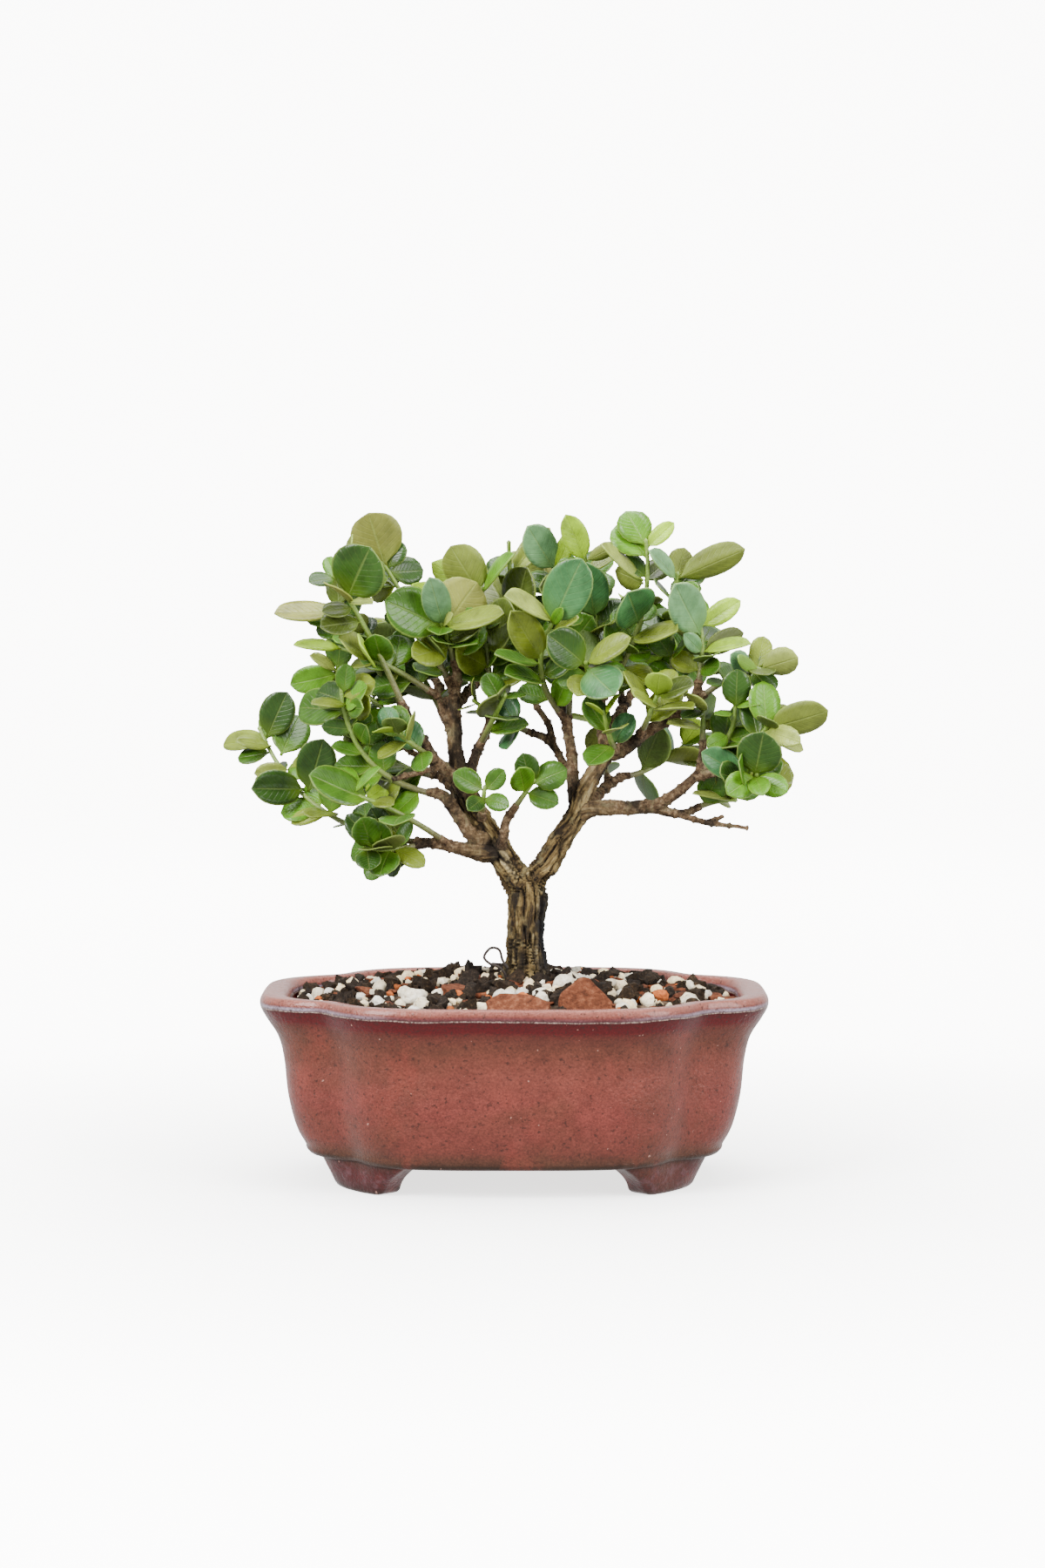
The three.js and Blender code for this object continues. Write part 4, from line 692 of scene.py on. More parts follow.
def bark():
    finish = Finish("furrowed_bark", 0.9, Specular_IOR_Level=0.2)
    along = finish.attribute("grain_place", "Vector")
    plates = finish.ramp(
        finish.grain(360, 7, 0.72, 0.5, at=along), (0.30, (0.005, 0.003, 0.002)),
        (0.40, (0.020, 0.012, 0.006)), (0.47, (0.095, 0.060, 0.021)), (0.56, (0.25, 0.175, 0.066)),
        (0.69, (0.52, 0.43, 0.24)))
    twig = finish.ramp(
        finish.grain(620, 6, 0.75), (0.3, (0.022, 0.012, 0.006)), (0.42, (0.080, 0.046, 0.022)),
        (0.54, (0.185, 0.118, 0.062)), (0.68, (0.36, 0.27, 0.165)))
    skin = finish.blend(finish.attribute("girth"), twig, plates)
    skin = finish.spotted(skin, (0.25, 0.225, 0.115), 0.4, 0.54, 0.64, 210, 5, 0.65)
    skin = finish.spotted(skin, (0.010, 0.007, 0.005), 0.85, 0.5, 0.62, 150, 4, 0.6,
                          at=finish.place((1, 1, 0.5)))
    # Darker blue-black on the trunk's right flank.
    skin = finish.blend(finish.attribute("right_flank_dark"), skin, (0.008, 0.010, 0.015))
    # Near-black in the furrows: the bark's own darker colour with painted shade in the crevices.
    finish.colour(finish.blend(finish.attribute("furrow"), skin, (0.007, 0.004, 0.003)))
    finish.bump(finish.grain(700, 6, 0.75, at=along), 0.0022)
    return finish.material


def leaf_face(name, roughness, dusty):
    """A leaf's face: patches of its own green, a painted sheen that pales it towards the base, with veins,
    midrib and rim
    """
    finish = Finish(name, roughness, Specular_IOR_Level=0.2)
    side, along, _ = finish.split(finish.node("ShaderNodeUVMap", uv_map="blade").outputs["UV"])
    across = finish.math("ABSOLUTE", finish.math("SUBTRACT", side, 0.5))
    tint = finish.attribute("tint", "Color")
    green = finish.shaded(tint, 1.0, [(0.3, 0.55), (0.52, 1.0), (0.75, 1.36)], 150, 5, 0.65)
    # Painted sheen: the blade pales towards its base.
    base_sheen = finish.ramp(along, (0.05, 1.0), (0.4, 0.0))
    green = finish.blend(finish.times(base_sheen, 0.35), green, (0.13, 0.21, 0.012))
    if dusty:
        green = finish.blend(dusty, green, (0.120, 0.138, 0.034))
    slant = finish.math("SUBTRACT", along, finish.times(across, 0.55))
    wave = finish.math("SINE", finish.times(slant, 58.0))
    vein = finish.math("POWER", finish.math("MAXIMUM", wave, 0.0), 9.0)
    rib = finish.ramp(across, (0.0, 1.0), (0.014, 0.8), (0.032, 0.0))
    rim = finish.ramp(across, (0.462, 0.0), (0.49, 1.0))
    for line, share, colour in ((vein, 0.045, (0.20, 0.27, 0.06)), (rib, 0.2, (0.24, 0.31, 0.07)),
                                (rim, 0.35, (0.24, 0.32, 0.06))):
        green = finish.blend(finish.times(line, share), green, colour)
    finish.colour(green)
    relief = finish.math("ADD", finish.times(vein, -0.35), finish.times(rib, -1.0))
    finish.bump(finish.math("ADD", relief, finish.times(finish.grain(700, 3), 0.5)), 0.00025, 0.6)
    return finish.material


def green_stem():
    finish = Finish("green_stem", 0.5)
    young = finish.ramp(finish.grain(500, 4), (0.3, (0.09, 0.15, 0.015)), (0.7, (0.16, 0.25, 0.03)))
    old = finish.ramp(finish.grain(900, 5, 0.7), (0.3, (0.05, 0.035, 0.016)), (0.7, (0.13, 0.10, 0.045)))
    finish.colour(finish.blend(finish.attribute("age"), young, old))
    finish.bump(finish.grain(1500, 3), 0.0003)
    return finish.material


def plain_finish(name, roughness, dark, light):
    finish = Finish(name, roughness)
    finish.colour(finish.ramp(finish.grain(500, 4), (0.3, dark), (0.7, light)))
    return finish.material


GLAZE = oxblood_glaze()
MIX = potting_mix()
PUMICE = mineral("pumice", 900, 0.0008, (0.25, (0.30, 0.22, 0.11)), (0.43, (0.74, 0.65, 0.48)),
                 (0.66, (0.98, 0.94, 0.80)))
CRUMB = mineral("dark_crumb", 900, 0.0009, (0.3, (0.006, 0.004, 0.003)), (0.55, (0.024, 0.016, 0.010)),
                (0.75, (0.085, 0.056, 0.036)))
CHIP = mineral("bark_chip", 500, 0.0006, (0.3, (0.026, 0.008, 0.004)), (0.52, (0.105, 0.032, 0.014)),
               (0.72, (0.21, 0.082, 0.042)))
CLAY = mineral("fired_clay", 700, 0.0005, (0.3, (0.20, 0.045, 0.012)), (0.6, (0.42, 0.115, 0.03)),
               (0.8, (0.55, 0.22, 0.09)))
BARK = bark()
LEAF_TOP = leaf_face("leaf_top", 0.3, None)
LEAF_UNDER = leaf_face("leaf_under", 0.5, 0.3)
STEM = green_stem()
SCREEN = plain_finish("screen_plastic", 0.6, (0.016, 0.0176, 0.0208), (0.023, 0.0253, 0.0299))
ROOT = plain_finish("dry_root", 0.9, (0.016, 0.0104, 0.0072), (0.023, 0.01495, 0.01035))


# Pot
START_RADIUS = 50
ROUND_STEPS = 5
POT_SEGMENTS, SOIL_SEGMENTS = 240, 200


def oblong_radius(angle, half_length, half_width):
    x = np.abs(np.cos(angle) / half_length) ** LOBE_POWER
    y = np.abs(np.sin(angle) / half_width) ** LOBE_POWER
    return (x + y) ** (-1 / LOBE_POWER)


def pot_radius(angle, inset):
    drawn_in = MIDDLE_SHRINK * inset
    wide = oblong_radius(angle, MIDDLE_LOBE_LENGTH / 2 - drawn_in, POT_DEPTH / 2 - drawn_in)
    long = oblong_radius(angle, POT_LENGTH / 2 - inset, END_LOBE_WIDTH / 2 - END_SHRINK * inset)
    return (wide ** LOBE_CREASE + long ** LOBE_CREASE) ** (1 / LOBE_CREASE)


def smooth_rows(rows, steps):
    """Points along a smooth line through the rows"""
    points = np.array([rows[0]] + rows + [rows[-1]], float)
    line = []
    for i in range(1, len(points) - 2):
        before, start, end, after = points[i - 1:i + 3]
        for t in np.arange(steps) / steps:
            line.append(0.5 * (2 * start + (end - before) * t
                               + (2 * before - 5 * start + 4 * end - after) * t ** 2
                               + (3 * start - before - 3 * end + after) * t ** 3))
    line.append(points[-1])
    return np.array(line)


def ringed(name, rows, segments, place):
    """A closed body drawn up from a circle, ring by ring, with its ends drawn in to a point"""
    deselect()
    bpy.ops.mesh.primitive_circle_add(vertices=segments, radius=START_RADIUS * MM)
    piece = bpy.context.object
    piece.name = name
    with edited(piece):
        for _ in rows[1:]:
            bpy.ops.mesh.extrude_region_move(TRANSFORM_OT_translate={"value": (0, 0, MM)})
    points = vertex_places(piece)
    angles = np.arctan2(points[:, 1], points[:, 0])
    levels = np.rint((points[:, 2] - points[:, 2].min()) / MM).astype(int)
    place_vertices(piece, place(np.array(rows, float)[levels], angles) * MM)
    with edited(piece):
        bpy.ops.mesh.remove_doubles(threshold=0.01 * MM)
        bpy.ops.mesh.normals_make_consistent(inside=False)
    return piece


def pot_place(rows, angles):
    radius = pot_radius(angles, rows[:, 0]) * rows[:, 2]
    return np.stack([radius * np.cos(angles), radius * np.sin(angles), rows[:, 1]], 1)


def foot_piece(quarter):
    """A bracket foot: a block that is cut finely, bent round the lobe's crease and flared towards the bowl"""
    deselect()
    bpy.ops.mesh.primitive_cube_add(size=1)
    foot = bpy.context.object
    with edited(foot):
        bpy.ops.mesh.bevel(offset=0.13, segments=4, affect="EDGES")
        bpy.ops.mesh.select_all(action="SELECT")
        bpy.ops.mesh.subdivide(number_cuts=7)
    x, y, z = vertex_places(foot).T
    side = 1 if quarter % 2 == 0 else -1
    rise = z + 0.5
    bend = rise ** FOOT_FLARE
    middle = side * mix(FOOT_LOW_MIDDLE, FOOT_TOP_MIDDLE, bend) + 180 * math.ceil(quarter / 2)
    angle = np.radians(middle + x * mix(FOOT_LOW_SPAN, FOOT_TOP_SPAN, bend))
    low = mix(FOOT_LOW_AT_END, FOOT_LOW_AT_FRONT, (0.5 + side * x) ** 2)
    radius = mix(low, pot_radius(angle, FOOT_TOP_INSET), rise) - (y + 0.5) * FOOT_THICKNESS
    height = rise * (POT_UNDERSIDE + FOOT_SINK + FOOT_OVERLAP)
    place_vertices(foot, np.stack([radius * np.cos(angle), radius * np.sin(angle), height], 1) * MM)
    with edited(foot):
        bpy.ops.mesh.normals_make_consistent(inside=False)
    return foot


def drain_bit(x, low=5, high=20):
    deselect()
    bpy.ops.mesh.primitive_cylinder_add(vertices=48, radius=DRAIN_RADIUS * MM, depth=(high - low) * MM,
                                        location=(x * MM, 0, (low + high) / 2 * MM))
    bpy.ops.object.transform_apply(location=True, rotation=True, scale=True)
    return bpy.context.object


pot_rows = [[0, POT_UNDERSIDE, 0], [FLAT_INSET, POT_UNDERSIDE, 1]]
pot_rows += [[inset, height, 1] for inset, height in smooth_rows(POT_OUTSIDE + POT_INSIDE, ROUND_STEPS)]
pot_rows += [[FLAT_INSET, POT_FLOOR, 1], [0, POT_FLOOR, 0]]
pot = ringed("pot_bowl", pot_rows, POT_SEGMENTS, pot_place)
for foot in [foot_piece(quarter) for quarter in range(4)]:
    shape_with(pot, "UNION", foot)
for x in (-DRAIN_X, DRAIN_X):
    shape_with(pot, "DIFFERENCE", drain_bit(x))
coated(pot, GLAZE)
kept_in_box(pot)
finish_piece(pot, "glaze", "pot", smooth=38)

# Soil: a low mound with grains of pumice, dark crumbs, bark flakes and fired clay strewn over it
SOIL_DIP, LUMP_RISE, LUMP_PITCH = 0.6, 0.8, 0.22
GRAINS = [
    # Name, finish, how many, sizes from and to, squash, roughness and seed
    ("pumice", PUMICE, 300, (2.2, 6.0), (1, 0.84, 0.76), 0.45, 11),
    ("crumbs", CRUMB, 380, (2.2, 7.4), (1, 0.86, 0.78), 1.0, 23),
    ("flakes", CHIP, 250, (3.6, 9.5), (1, 0.56, 0.24), 0.7, 37),
    ("clay_bits", CLAY, 40, (2.6, 5.0), (1, 0.85, 0.7), 0.5, 53),
]
GRAIN_SHAPES = 4
GRAIN_LIGHT, GRAIN_WARMTH = (0.66, 1.12), (0.94, 1.16)
SPIRAL_TURN, SPIRAL_REACH = 2.39996, 0.985
TRUNK_X, TRUNK_ROOM = 3.6, 7.5


def soil_height(x, y):
    share = np.hypot(x, y) / pot_radius(np.arctan2(y, x), SOIL_RIM_INSET)
    return SOIL_EDGE + (SOIL_CROWN - SOIL_EDGE) * (1 - share * share)


def soil_place(rows, angles):
    radius = (pot_radius(angles, rows[:, 0]) - JOINT_GAP) * rows[:, 2]
    x, y = radius * np.cos(angles), radius * np.sin(angles)
    lumps = np.array([noise.fractal(Vector((a * LUMP_PITCH, b * LUMP_PITCH, 3)), 0.8, 2.1, 4)
                      for a, b in zip(x, y)])
    top = soil_height(x, y) - SOIL_DIP + LUMP_RISE * lumps
    return np.stack([x, y, np.where(rows[:, 3] > 0, top, rows[:, 1])], 1)


def pebble(name, finish, squash, roughness, seed):
    """A rough pebble 1 mm across, modelled once and copied"""
    deselect()
    bpy.ops.mesh.primitive_ico_sphere_add(subdivisions=2, radius=0.5)
    stone = bpy.context.object
    points = vertex_places(stone)
    for point in points:
        point *= 1 + roughness * noise.noise(Vector(point * 2.6) + Vector((seed * 3.1, 0, 0)))
    place_vertices(stone, points * squash)
    stone.name = name
    coated(stone, finish)
    return stone


def strewn(pebbles, sizes, squash, spot, x, y):
    """A copy of a pebble in the soil, with a turn, a lean and a shade of its own"""
    seed = spot * 11
    size = mix(*sizes, draw(seed + 1) ** 2)
    lean = 0.5 if squash[2] < 0.4 else 3.0
    turn = Matrix.Rotation(draw(seed + 2) * 6.28, 4, "Z")
    turn = turn @ Matrix.Rotation(swing(seed + 3, lean), 4, "X")
    turn = turn @ Matrix.Rotation(swing(seed + 4, lean), 4, "Y")
    place = Matrix.Translation(Vector((x, y, float(soil_height(x, y)) + size * squash[2] * 0.1)) * MM)
    stone = copied(pebbles[spot % GRAIN_SHAPES], place @ turn @ Matrix.Scale(size * MM, 4))
    light = mix(*GRAIN_LIGHT, draw(seed + 6))
    warm = mix(*GRAIN_WARMTH, draw(seed + 7))
    tinted(stone, (light * warm, light, light / warm ** 2))
    return stone


soil_rows = [[0, POT_FLOOR + 2, 0, 0], [23.4, POT_FLOOR + 2, 1, 0], [15.2, 31, 1, 0], [10.2, 50, 1, 0]]
soil_rows += [[SOIL_RIM_INSET + 0.2, SOIL_EDGE, share, 1] for share in np.linspace(1, 0.02, 46)]
soil_rows += [[0, SOIL_CROWN, 0, 1]]
soil = ringed("soil_mass", soil_rows, SOIL_SEGMENTS, soil_place)
coated(soil, MIX)

bare_spots = [(x, y, max(length, width * math.cos(math.radians(tilt))) / 2)
              for _, _, x, y, length, width, _, _, tilt, _ in LOOSE] + [(TRUNK_X, 0, TRUNK_ROOM)]
kinds = [kind for kind, grain in enumerate(GRAINS) for _ in range(grain[2])]
order = sorted(range(len(kinds)), key=lambda i: draw(i * 7 + 5))
masters = [[pebble(f"{name}_master_{i}", finish, squash, roughness, seed + i * 7)
            for i in range(GRAIN_SHAPES)] for name, finish, _, _, squash, roughness, seed in GRAINS]
heaps = [[] for _ in GRAINS]
for spot, index in enumerate(order):
    kind = kinds[index]
    share = math.sqrt((spot + 0.5) / len(kinds)) * SPIRAL_REACH
    angle = spot * SPIRAL_TURN + swing(spot * 11, 0.5)
    radius = share * float(pot_radius(angle, SOIL_RIM_INSET))
    x, y = radius * math.cos(angle), radius * math.sin(angle)
    if not any(math.hypot(x - a, y - b) < room for a, b, room in bare_spots):
        heaps[kind].append(strewn(masters[kind], *GRAINS[kind][3:5], spot, x, y))
for (name, *_), heap, pebbles in zip(GRAINS, heaps, masters):
    for master in pebbles:
        bpy.data.objects.remove(master)
    finish_piece(joined(heap, f"soil_{name}"), "soil", smooth=50)
finish_piece(soil, "soil", "soil", smooth=60)

# Loose chips, stones and clay crumbs that are large enough to be solids
CHIP_ROUGHNESS, STONE_ROUGHNESS = 0.07, 0.2
LOOSE_FINISH = {"barkChip": CHIP, "pumice": PUMICE, "clay": CLAY}


def flat_block(outline):
    """A flat block with its corners on the outline, its edges rounded and its faces cut finely"""
    bpy.ops.mesh.primitive_cylinder_add(vertices=len(outline), radius=0.5, depth=0.94)
    block = bpy.context.object
    corners = vertex_places(block)
    turns = np.arctan2(corners[:, 1], corners[:, 0]) * len(outline) / (2 * math.pi)
    steps = np.rint(turns - turns[0]).astype(int) % len(outline)
    corners[:, :2] = np.array(outline)[steps] * 0.97
    place_vertices(block, corners)
    with edited(block):
        bpy.ops.mesh.bevel(offset=0.03, segments=2, affect="EDGES")
        bpy.ops.mesh.select_all(action="SELECT")
        bpy.ops.mesh.quads_convert_to_tris()
        bpy.ops.mesh.subdivide(number_cuts=4)
    return block


def round_stone():
    bpy.ops.mesh.primitive_ico_sphere_add(subdivisions=4, radius=0.48)
    return bpy.context.object


for number, (name, kind, x, y, length, width, height, turn, tilt, outline) in enumerate(LOOSE):
    deselect()
    piece = flat_block(outline) if outline else round_stone()
    roughness = CHIP_ROUGHNESS if outline else STONE_ROUGHNESS
    points = vertex_places(piece)
    for point in points:
        shift = noise.fractal(Vector(point * 2.2) + Vector((number * 5.3, 1, 0)), 0.7, 2.0, 4)
        point *= 1 + roughness * shift
    place_vertices(piece, np.clip(points, -0.5, 0.5))
    lean = math.radians(tilt)
    tall = width * math.sin(lean) + height * math.cos(lean)
    rest = Vector((x, y, float(soil_height(x, y)) + tall * (0.5 - LOOSE_SINK))) * MM
    turned = Matrix.Rotation(math.radians(turn), 4, "Z") @ Matrix.Rotation(lean, 4, "X")
    sizes = Matrix.Diagonal((length * MM, width * MM, height * MM, 1))
    piece.data.transform(Matrix.Translation(rest) @ turned @ sizes)
    tinted(piece, (1, 1, 1))
    coated(piece, LOOSE_FINISH[kind])
    piece.name = name + "_piece"
    finish_piece(piece, kind, name, smooth=45)

# Wood: smooth tubes along the limbs are melted into one grown piece and its bark is furrowed.
MELT_SIZE = 0.46
THICK_FROM, THICK_TO = 1.7, 3.4
FURROW_WIDTH, FURROW_PITCH, FURROW_STRETCH = 0.21, 0.46, 0.06
SCAR_PITCH = 1.15
BARK_LUMPS, BARK_KNOTS, BARK_FURROWS, BARK_SWELL, BARK_SCARS = 0.6, 0.7, 1.2, 0.35, 0.46
# Where the trunk's right flank is made darker blue-black: how far right, the heights it rises from and fades
# below, and how much
DARK_FLANK_SIDE, DARK_FLANK_FOOT, DARK_FLANK_TOP, DARK_FLANK_SHARE = (2.2, 4.5), (56, 66), (84, 92), 0.85


class ShootLine:
    """One smooth curve from the middle of the limb to the shoot's tip, and the straight steps of its stem"""

    def __init__(self, limb, at, tip, bow):
        rows = LIMBS[limb]
        below = min(math.floor(at), len(rows) - 2)
        *start, limb_radius = [mix(a, b, at - below) for a, b in zip(rows[below], rows[below + 1])]
        self.start = np.array(start, float)
        self.end = np.array(tip, float)
        self.middle = (self.start + self.end) / 2 + 2 * np.array(bow, float)
        dense = np.array([self.at(t) for t in np.linspace(0, 1, 201)])
        self.length = np.linalg.norm(np.diff(dense, axis=0), axis=1).sum()
        self.spur_end = (limb_radius + SPUR_LENGTH) / self.length
        self.stem_start = self.spur_end + JOINT_GAP / self.length

    def at(self, t):
        return (1 - t) ** 2 * self.start + 2 * t * (1 - t) * self.middle + t * t * self.end

    def on_stem(self, share):
        step = (1 - self.stem_start) / STEM_STEPS
        below = min(math.floor((share - self.stem_start) / step), STEM_STEPS - 1)
        first = self.stem_start + below * step
        return mix(self.at(first), self.at(first + step), (share - first) / step)

    def direction(self, t):
        return unit((self.middle - self.start) * (1 - t) + (self.end - self.middle) * t)

    def crossed(self, t):
        """The stem's direction at a place and two ways square to it"""
        along = self.direction(t)
        east = unit(np.cross([0, 1, 0], along))
        return along, east, np.cross(along, east)


def tube(name, points, radii, resolution):
    """A round bar drawn as a curve through the points, with a radius at each, made a mesh"""
    curve = bpy.data.curves.new(name, "CURVE")
    curve.dimensions = "3D"
    curve.bevel_depth = MM
    curve.bevel_resolution = resolution
    curve.use_fill_caps = True
    spline = curve.splines.new("POLY")
    spline.points.add(len(points) - 1)
    for knot, place, radius in zip(spline.points, points, radii):
        knot.co = (*(Vector(place) * MM), 1)
        knot.radius = radius
    piece = bpy.data.objects.new(name, curve)
    scene.collection.objects.link(piece)
    only(piece)
    bpy.ops.object.convert(target="MESH")
    return bpy.context.object


def limb_lines(shoots, lines):
    """The spurs and the limbs as smooth rows; a limb with a shoot at its end runs out into its spur"""
    rows = []
    ends = {}
    for name, limb, at, *_ in shoots:
        line = lines[name]
        if at == len(LIMBS[limb]) - 1 and limb not in ends:
            ends[limb] = [[*line.at(line.spur_end), SPUR_RADIUS[1]]]
        else:
            rows.append(np.array([[*line.at(t), mix(*SPUR_RADIUS, t / line.spur_end)]
                                  for t in np.linspace(0, line.spur_end, 5)]))
    return rows + [smooth_rows(knots + ends.get(limb, []), ROUND_STEPS) for limb, knots in LIMBS.items()]


def nearest_limb(points, limbs):
    """For every point, the nearest limb's axis, its radius there, the way along it and its number"""
    best = np.full(len(points), np.inf)
    axis = np.zeros_like(points)
    girth, walk, owner = np.zeros((3, len(points)))
    for number, rows in enumerate(limbs):
        walked = np.concatenate([[0], np.cumsum(np.linalg.norm(np.diff(rows[:, :3], axis=0), axis=1))])
        for i, (first, last) in enumerate(zip(rows, rows[1:])):
            span = last[:3] - first[:3]
            length = span @ span
            if length < 1e-9:
                continue
            t = np.clip((points - first[:3]) @ span / length, 0, 1)
            foot = first[:3] + t[:, None] * span
            radius = mix(first[3], last[3], t)
            gap = np.linalg.norm(points - foot, axis=1) - radius
            nearer = gap < best
            best[nearer] = gap[nearer]
            axis[nearer] = foot[nearer]
            girth[nearer] = radius[nearer]
            walk[nearer] = mix(walked[i], walked[i + 1], t)[nearer]
            owner[nearer] = number
    return axis, girth, walk, owner


SHOOTS = SET_SHOOTS + PAIRED_SHOOTS
lines = {row[0]: ShootLine(*row[1:5]) for row in SHOOTS}
wood_lines = limb_lines(SHOOTS, lines)
wood = joined([tube("limb", rows[:, :3], rows[:, 3], 4) for rows in wood_lines], "trunk_and_branches_piece")
apply_modifier(wood, "REMESH", mode="VOXEL", voxel_size=MELT_SIZE * MM)
apply_modifier(wood, "SMOOTH", factor=0.6, iterations=2)
points = vertex_places(wood) / MM
axis, girth, walk, owner = nearest_limb(points, wood_lines)
out = points - axis
out /= np.maximum(np.linalg.norm(out, axis=1), 1e-6)[:, None]
thick = step_up(THICK_FROM, THICK_TO, girth)
grain = np.empty_like(points)
furrow, lump, knot = np.empty((3, len(points)))
for i, (way, radius, along, limb) in enumerate(zip(out, girth, walk, owner)):
    x, y, z = Vector(way * radius)
    seat = Vector((x * FURROW_PITCH + limb * 5, y * FURROW_PITCH, z * FURROW_PITCH + along * FURROW_STRETCH))
    crack = noise.noise(seat) + 0.45 * noise.noise(seat * 2.3 + Vector((9, 2, 4)))
    furrow[i] = 1 - min(1, abs(crack) / FURROW_WIDTH)
    rough = Vector((x + limb * 3, y, z + along * 0.5))
    lump[i] = noise.fractal(rough * 0.6, 0.75, 2.0, 5)
    knot[i] = noise.noise(rough * 0.27 + Vector((3, 8, 1)))
    grain[i] = (x + limb * 3, y, z + along * 0.22)
furrow = furrow ** 0.65 * thick
depth = np.where(girth > 3.2, 1.0, np.where(girth > 2.2, 0.5, 0.22))
scars = np.maximum(0, np.sin(walk * SCAR_PITCH + owner * 2.1)) ** 10 * (1 - thick)
relief = (BARK_LUMPS * lump * depth + BARK_KNOTS * knot * depth - BARK_FURROWS * furrow * depth
          + BARK_SWELL * thick + BARK_SCARS * scars)
points += out * relief[:, None]
place_vertices(wood, points * MM)
# The trunk's right flank, above its foot and below the fork, is made darker blue-black.
right_side = step_up(*DARK_FLANK_SIDE, points[:, 0] - TRUNK_X + 1.2 * lump)
under_fork = 1 - step_up(*DARK_FLANK_TOP, points[:, 2] + 3 * lump)
right_flank_dark = right_side * under_fork * step_up(*DARK_FLANK_FOOT, points[:, 2])
for name, values in (("furrow", furrow), ("girth", thick), ("right_flank_dark", DARK_FLANK_SHARE * right_flank_dark)):
    wood.data.attributes.new(name, "FLOAT", "POINT").data.foreach_set("value", values.astype(np.float32))
held = wood.data.attributes.new("grain_place", "FLOAT_VECTOR", "POINT")
held.data.foreach_set("vector", (grain * MM).astype(np.float32).ravel())
coated(wood, BARK)
finish_piece(wood, "bark", "trunk_and_branches", smooth=60)

# Leaves: four blades are modelled once, with stalk, folded rib and thin rim, and copied to every place.
BLADE_BENDS = [
    # How far a blade is folded, arched, drooped at its edges and twisted, in shares of its length
    (0.20, 0.02, 0.12, 0.05), (0.12, 0.04, 0.16, -0.10), (0.30, 0.0, 0.24, 0.08), (0.14, -0.03, 0.05, -0.04),
]
LARGE_LEAF = 15
LEAF_LIGHT = (0.85, 1.15)
TIP_MISS = 0.25
PAIR_SIZE, PAIR_WIDTH = (0.88, 1.12), (0.7, 0.9)
STEM_KNOTS, STEM_RADIUS = 14, (1.0, 0.62)
STEM_END_REACH, STEM_END_RADIUS = [0.7, 1.3], [0.72, 0.2]
# Filling leaves: how many pairs a shoot may have, their length, width and opening, the room that they keep
# from other leaves, how near they stay to the leaves of the solids, and the bare place under the crown
FILL_PAIRS, FILL_LENGTH, FILL_WIDTH, FILL_OPENING = 11, [9, 14.5], (0.72, 0.94), [46, 74]
FILL_ROOM, FILL_SHOWN, FILL_REACH, FILL_BACK = 2.6, 2.8, 6.5, 50
BARE_MIDDLE, BARE_HALF, BARE_BELOW = 12, 46, 146


def blade_outline(rows):
    """Places along a blade and half widths there: a short stalk, then an oval fullest past its middle"""
    turn = np.linspace(0.09, 1, rows) * np.pi
    along = 0.1 + 0.87 * (1 - np.cos(turn)) / 2
    half = 0.5 * np.sin(turn) ** 0.88 * (0.95 + 0.09 * along)
    along[-1] = 1
    half[-1] = 0.012
    return np.concatenate([[0, 0.06], along]), np.concatenate([[0.035, 0.042], half])


def blade_master(columns, rows, fold, arch, droop, twist):
    deselect()
    bpy.ops.mesh.primitive_grid_add(x_subdivisions=columns, y_subdivisions=rows + 1, size=1)
    blade = bpy.context.object
    points = vertex_places(blade)
    row = np.rint((points[:, 1] + 0.5) * (rows + 1)).astype(int)
    share = points[:, 0] * 2
    places, halves = blade_outline(rows)
    along = places[row]
    across = share * halves[row]
    rise = fold * np.abs(across) - droop * across ** 2 + arch * np.sin(np.pi * along) + twist * across * along
    uv = blade.data.uv_layers[0]
    uv.name = "blade"
    for loop, corner in zip(blade.data.loops, uv.data):
        corner.uv = ((share[loop.vertex_index] + 1) / 2, along[loop.vertex_index])
    place_vertices(blade, np.stack([across, along, rise], 1))
    coated(blade, LEAF_TOP, LEAF_UNDER)
    apply_modifier(blade, "SOLIDIFY", thickness=0.03, offset=0, material_offset=1)
    bpy.ops.object.shade_smooth()
    return blade


def set_leaves(line, leaves, tints):
    grown = []
    for (share, tip, facing, ratio), tint in zip(leaves, tints):
        tip, middle, direction = np.array(tip, float), line.on_stem(share), line.direction(share)
        away = tip - middle
        away = unit(away - direction * (away @ direction))
        grown.append((middle + away * BLADE_ROOT_OFFSET, tip, np.array(FACING[facing]), ratio, tint))
    return grown


def blade_place(middle, along, outward, size, opening):
    """A leaf's root on the face of the stem, and its tip"""
    root = middle + outward * BLADE_ROOT_OFFSET
    return root, root + along * size * math.cos(opening) + outward * size * math.sin(opening)


def paired_leaves(line, pairs, length, turn, seed):
    grown = []
    for pair in range(pairs):
        share = pair / (pairs - 1)
        place = mix(*PAIR_SPREAD, share)
        along, east, north = line.crossed(place)
        for side in range(2):
            leaf = seed * 40 + pair * 8 + side * 4
            angle = math.radians(turn + LEAF_PAIR_TURN * pair + 180 * side + swing(leaf, 2 * TURN_DRIFT))
            opening = math.radians(mix(*PAIR_OPENING, share) + swing(leaf + 1, 2 * OPENING_DRIFT))
            size = length * (1 - TIP_SHRINK * share ** 3) * mix(*PAIR_SIZE, draw(leaf + 2))
            outward = east * math.cos(angle) + north * math.sin(angle)
            root, tip = blade_place(line.on_stem(place), along, outward, size, opening)
            tint = BACK_TINTS[int(draw(leaf + 3000) * len(BACK_TINTS))]
            if share == 1 and draw(leaf + 4000) > 0.5:
                tint = "l"
            face = along + np.array([0, 0, 0.6])
            grown.append((root, tip, face, mix(*PAIR_WIDTH, draw(leaf + 3)), tint))
    return grown


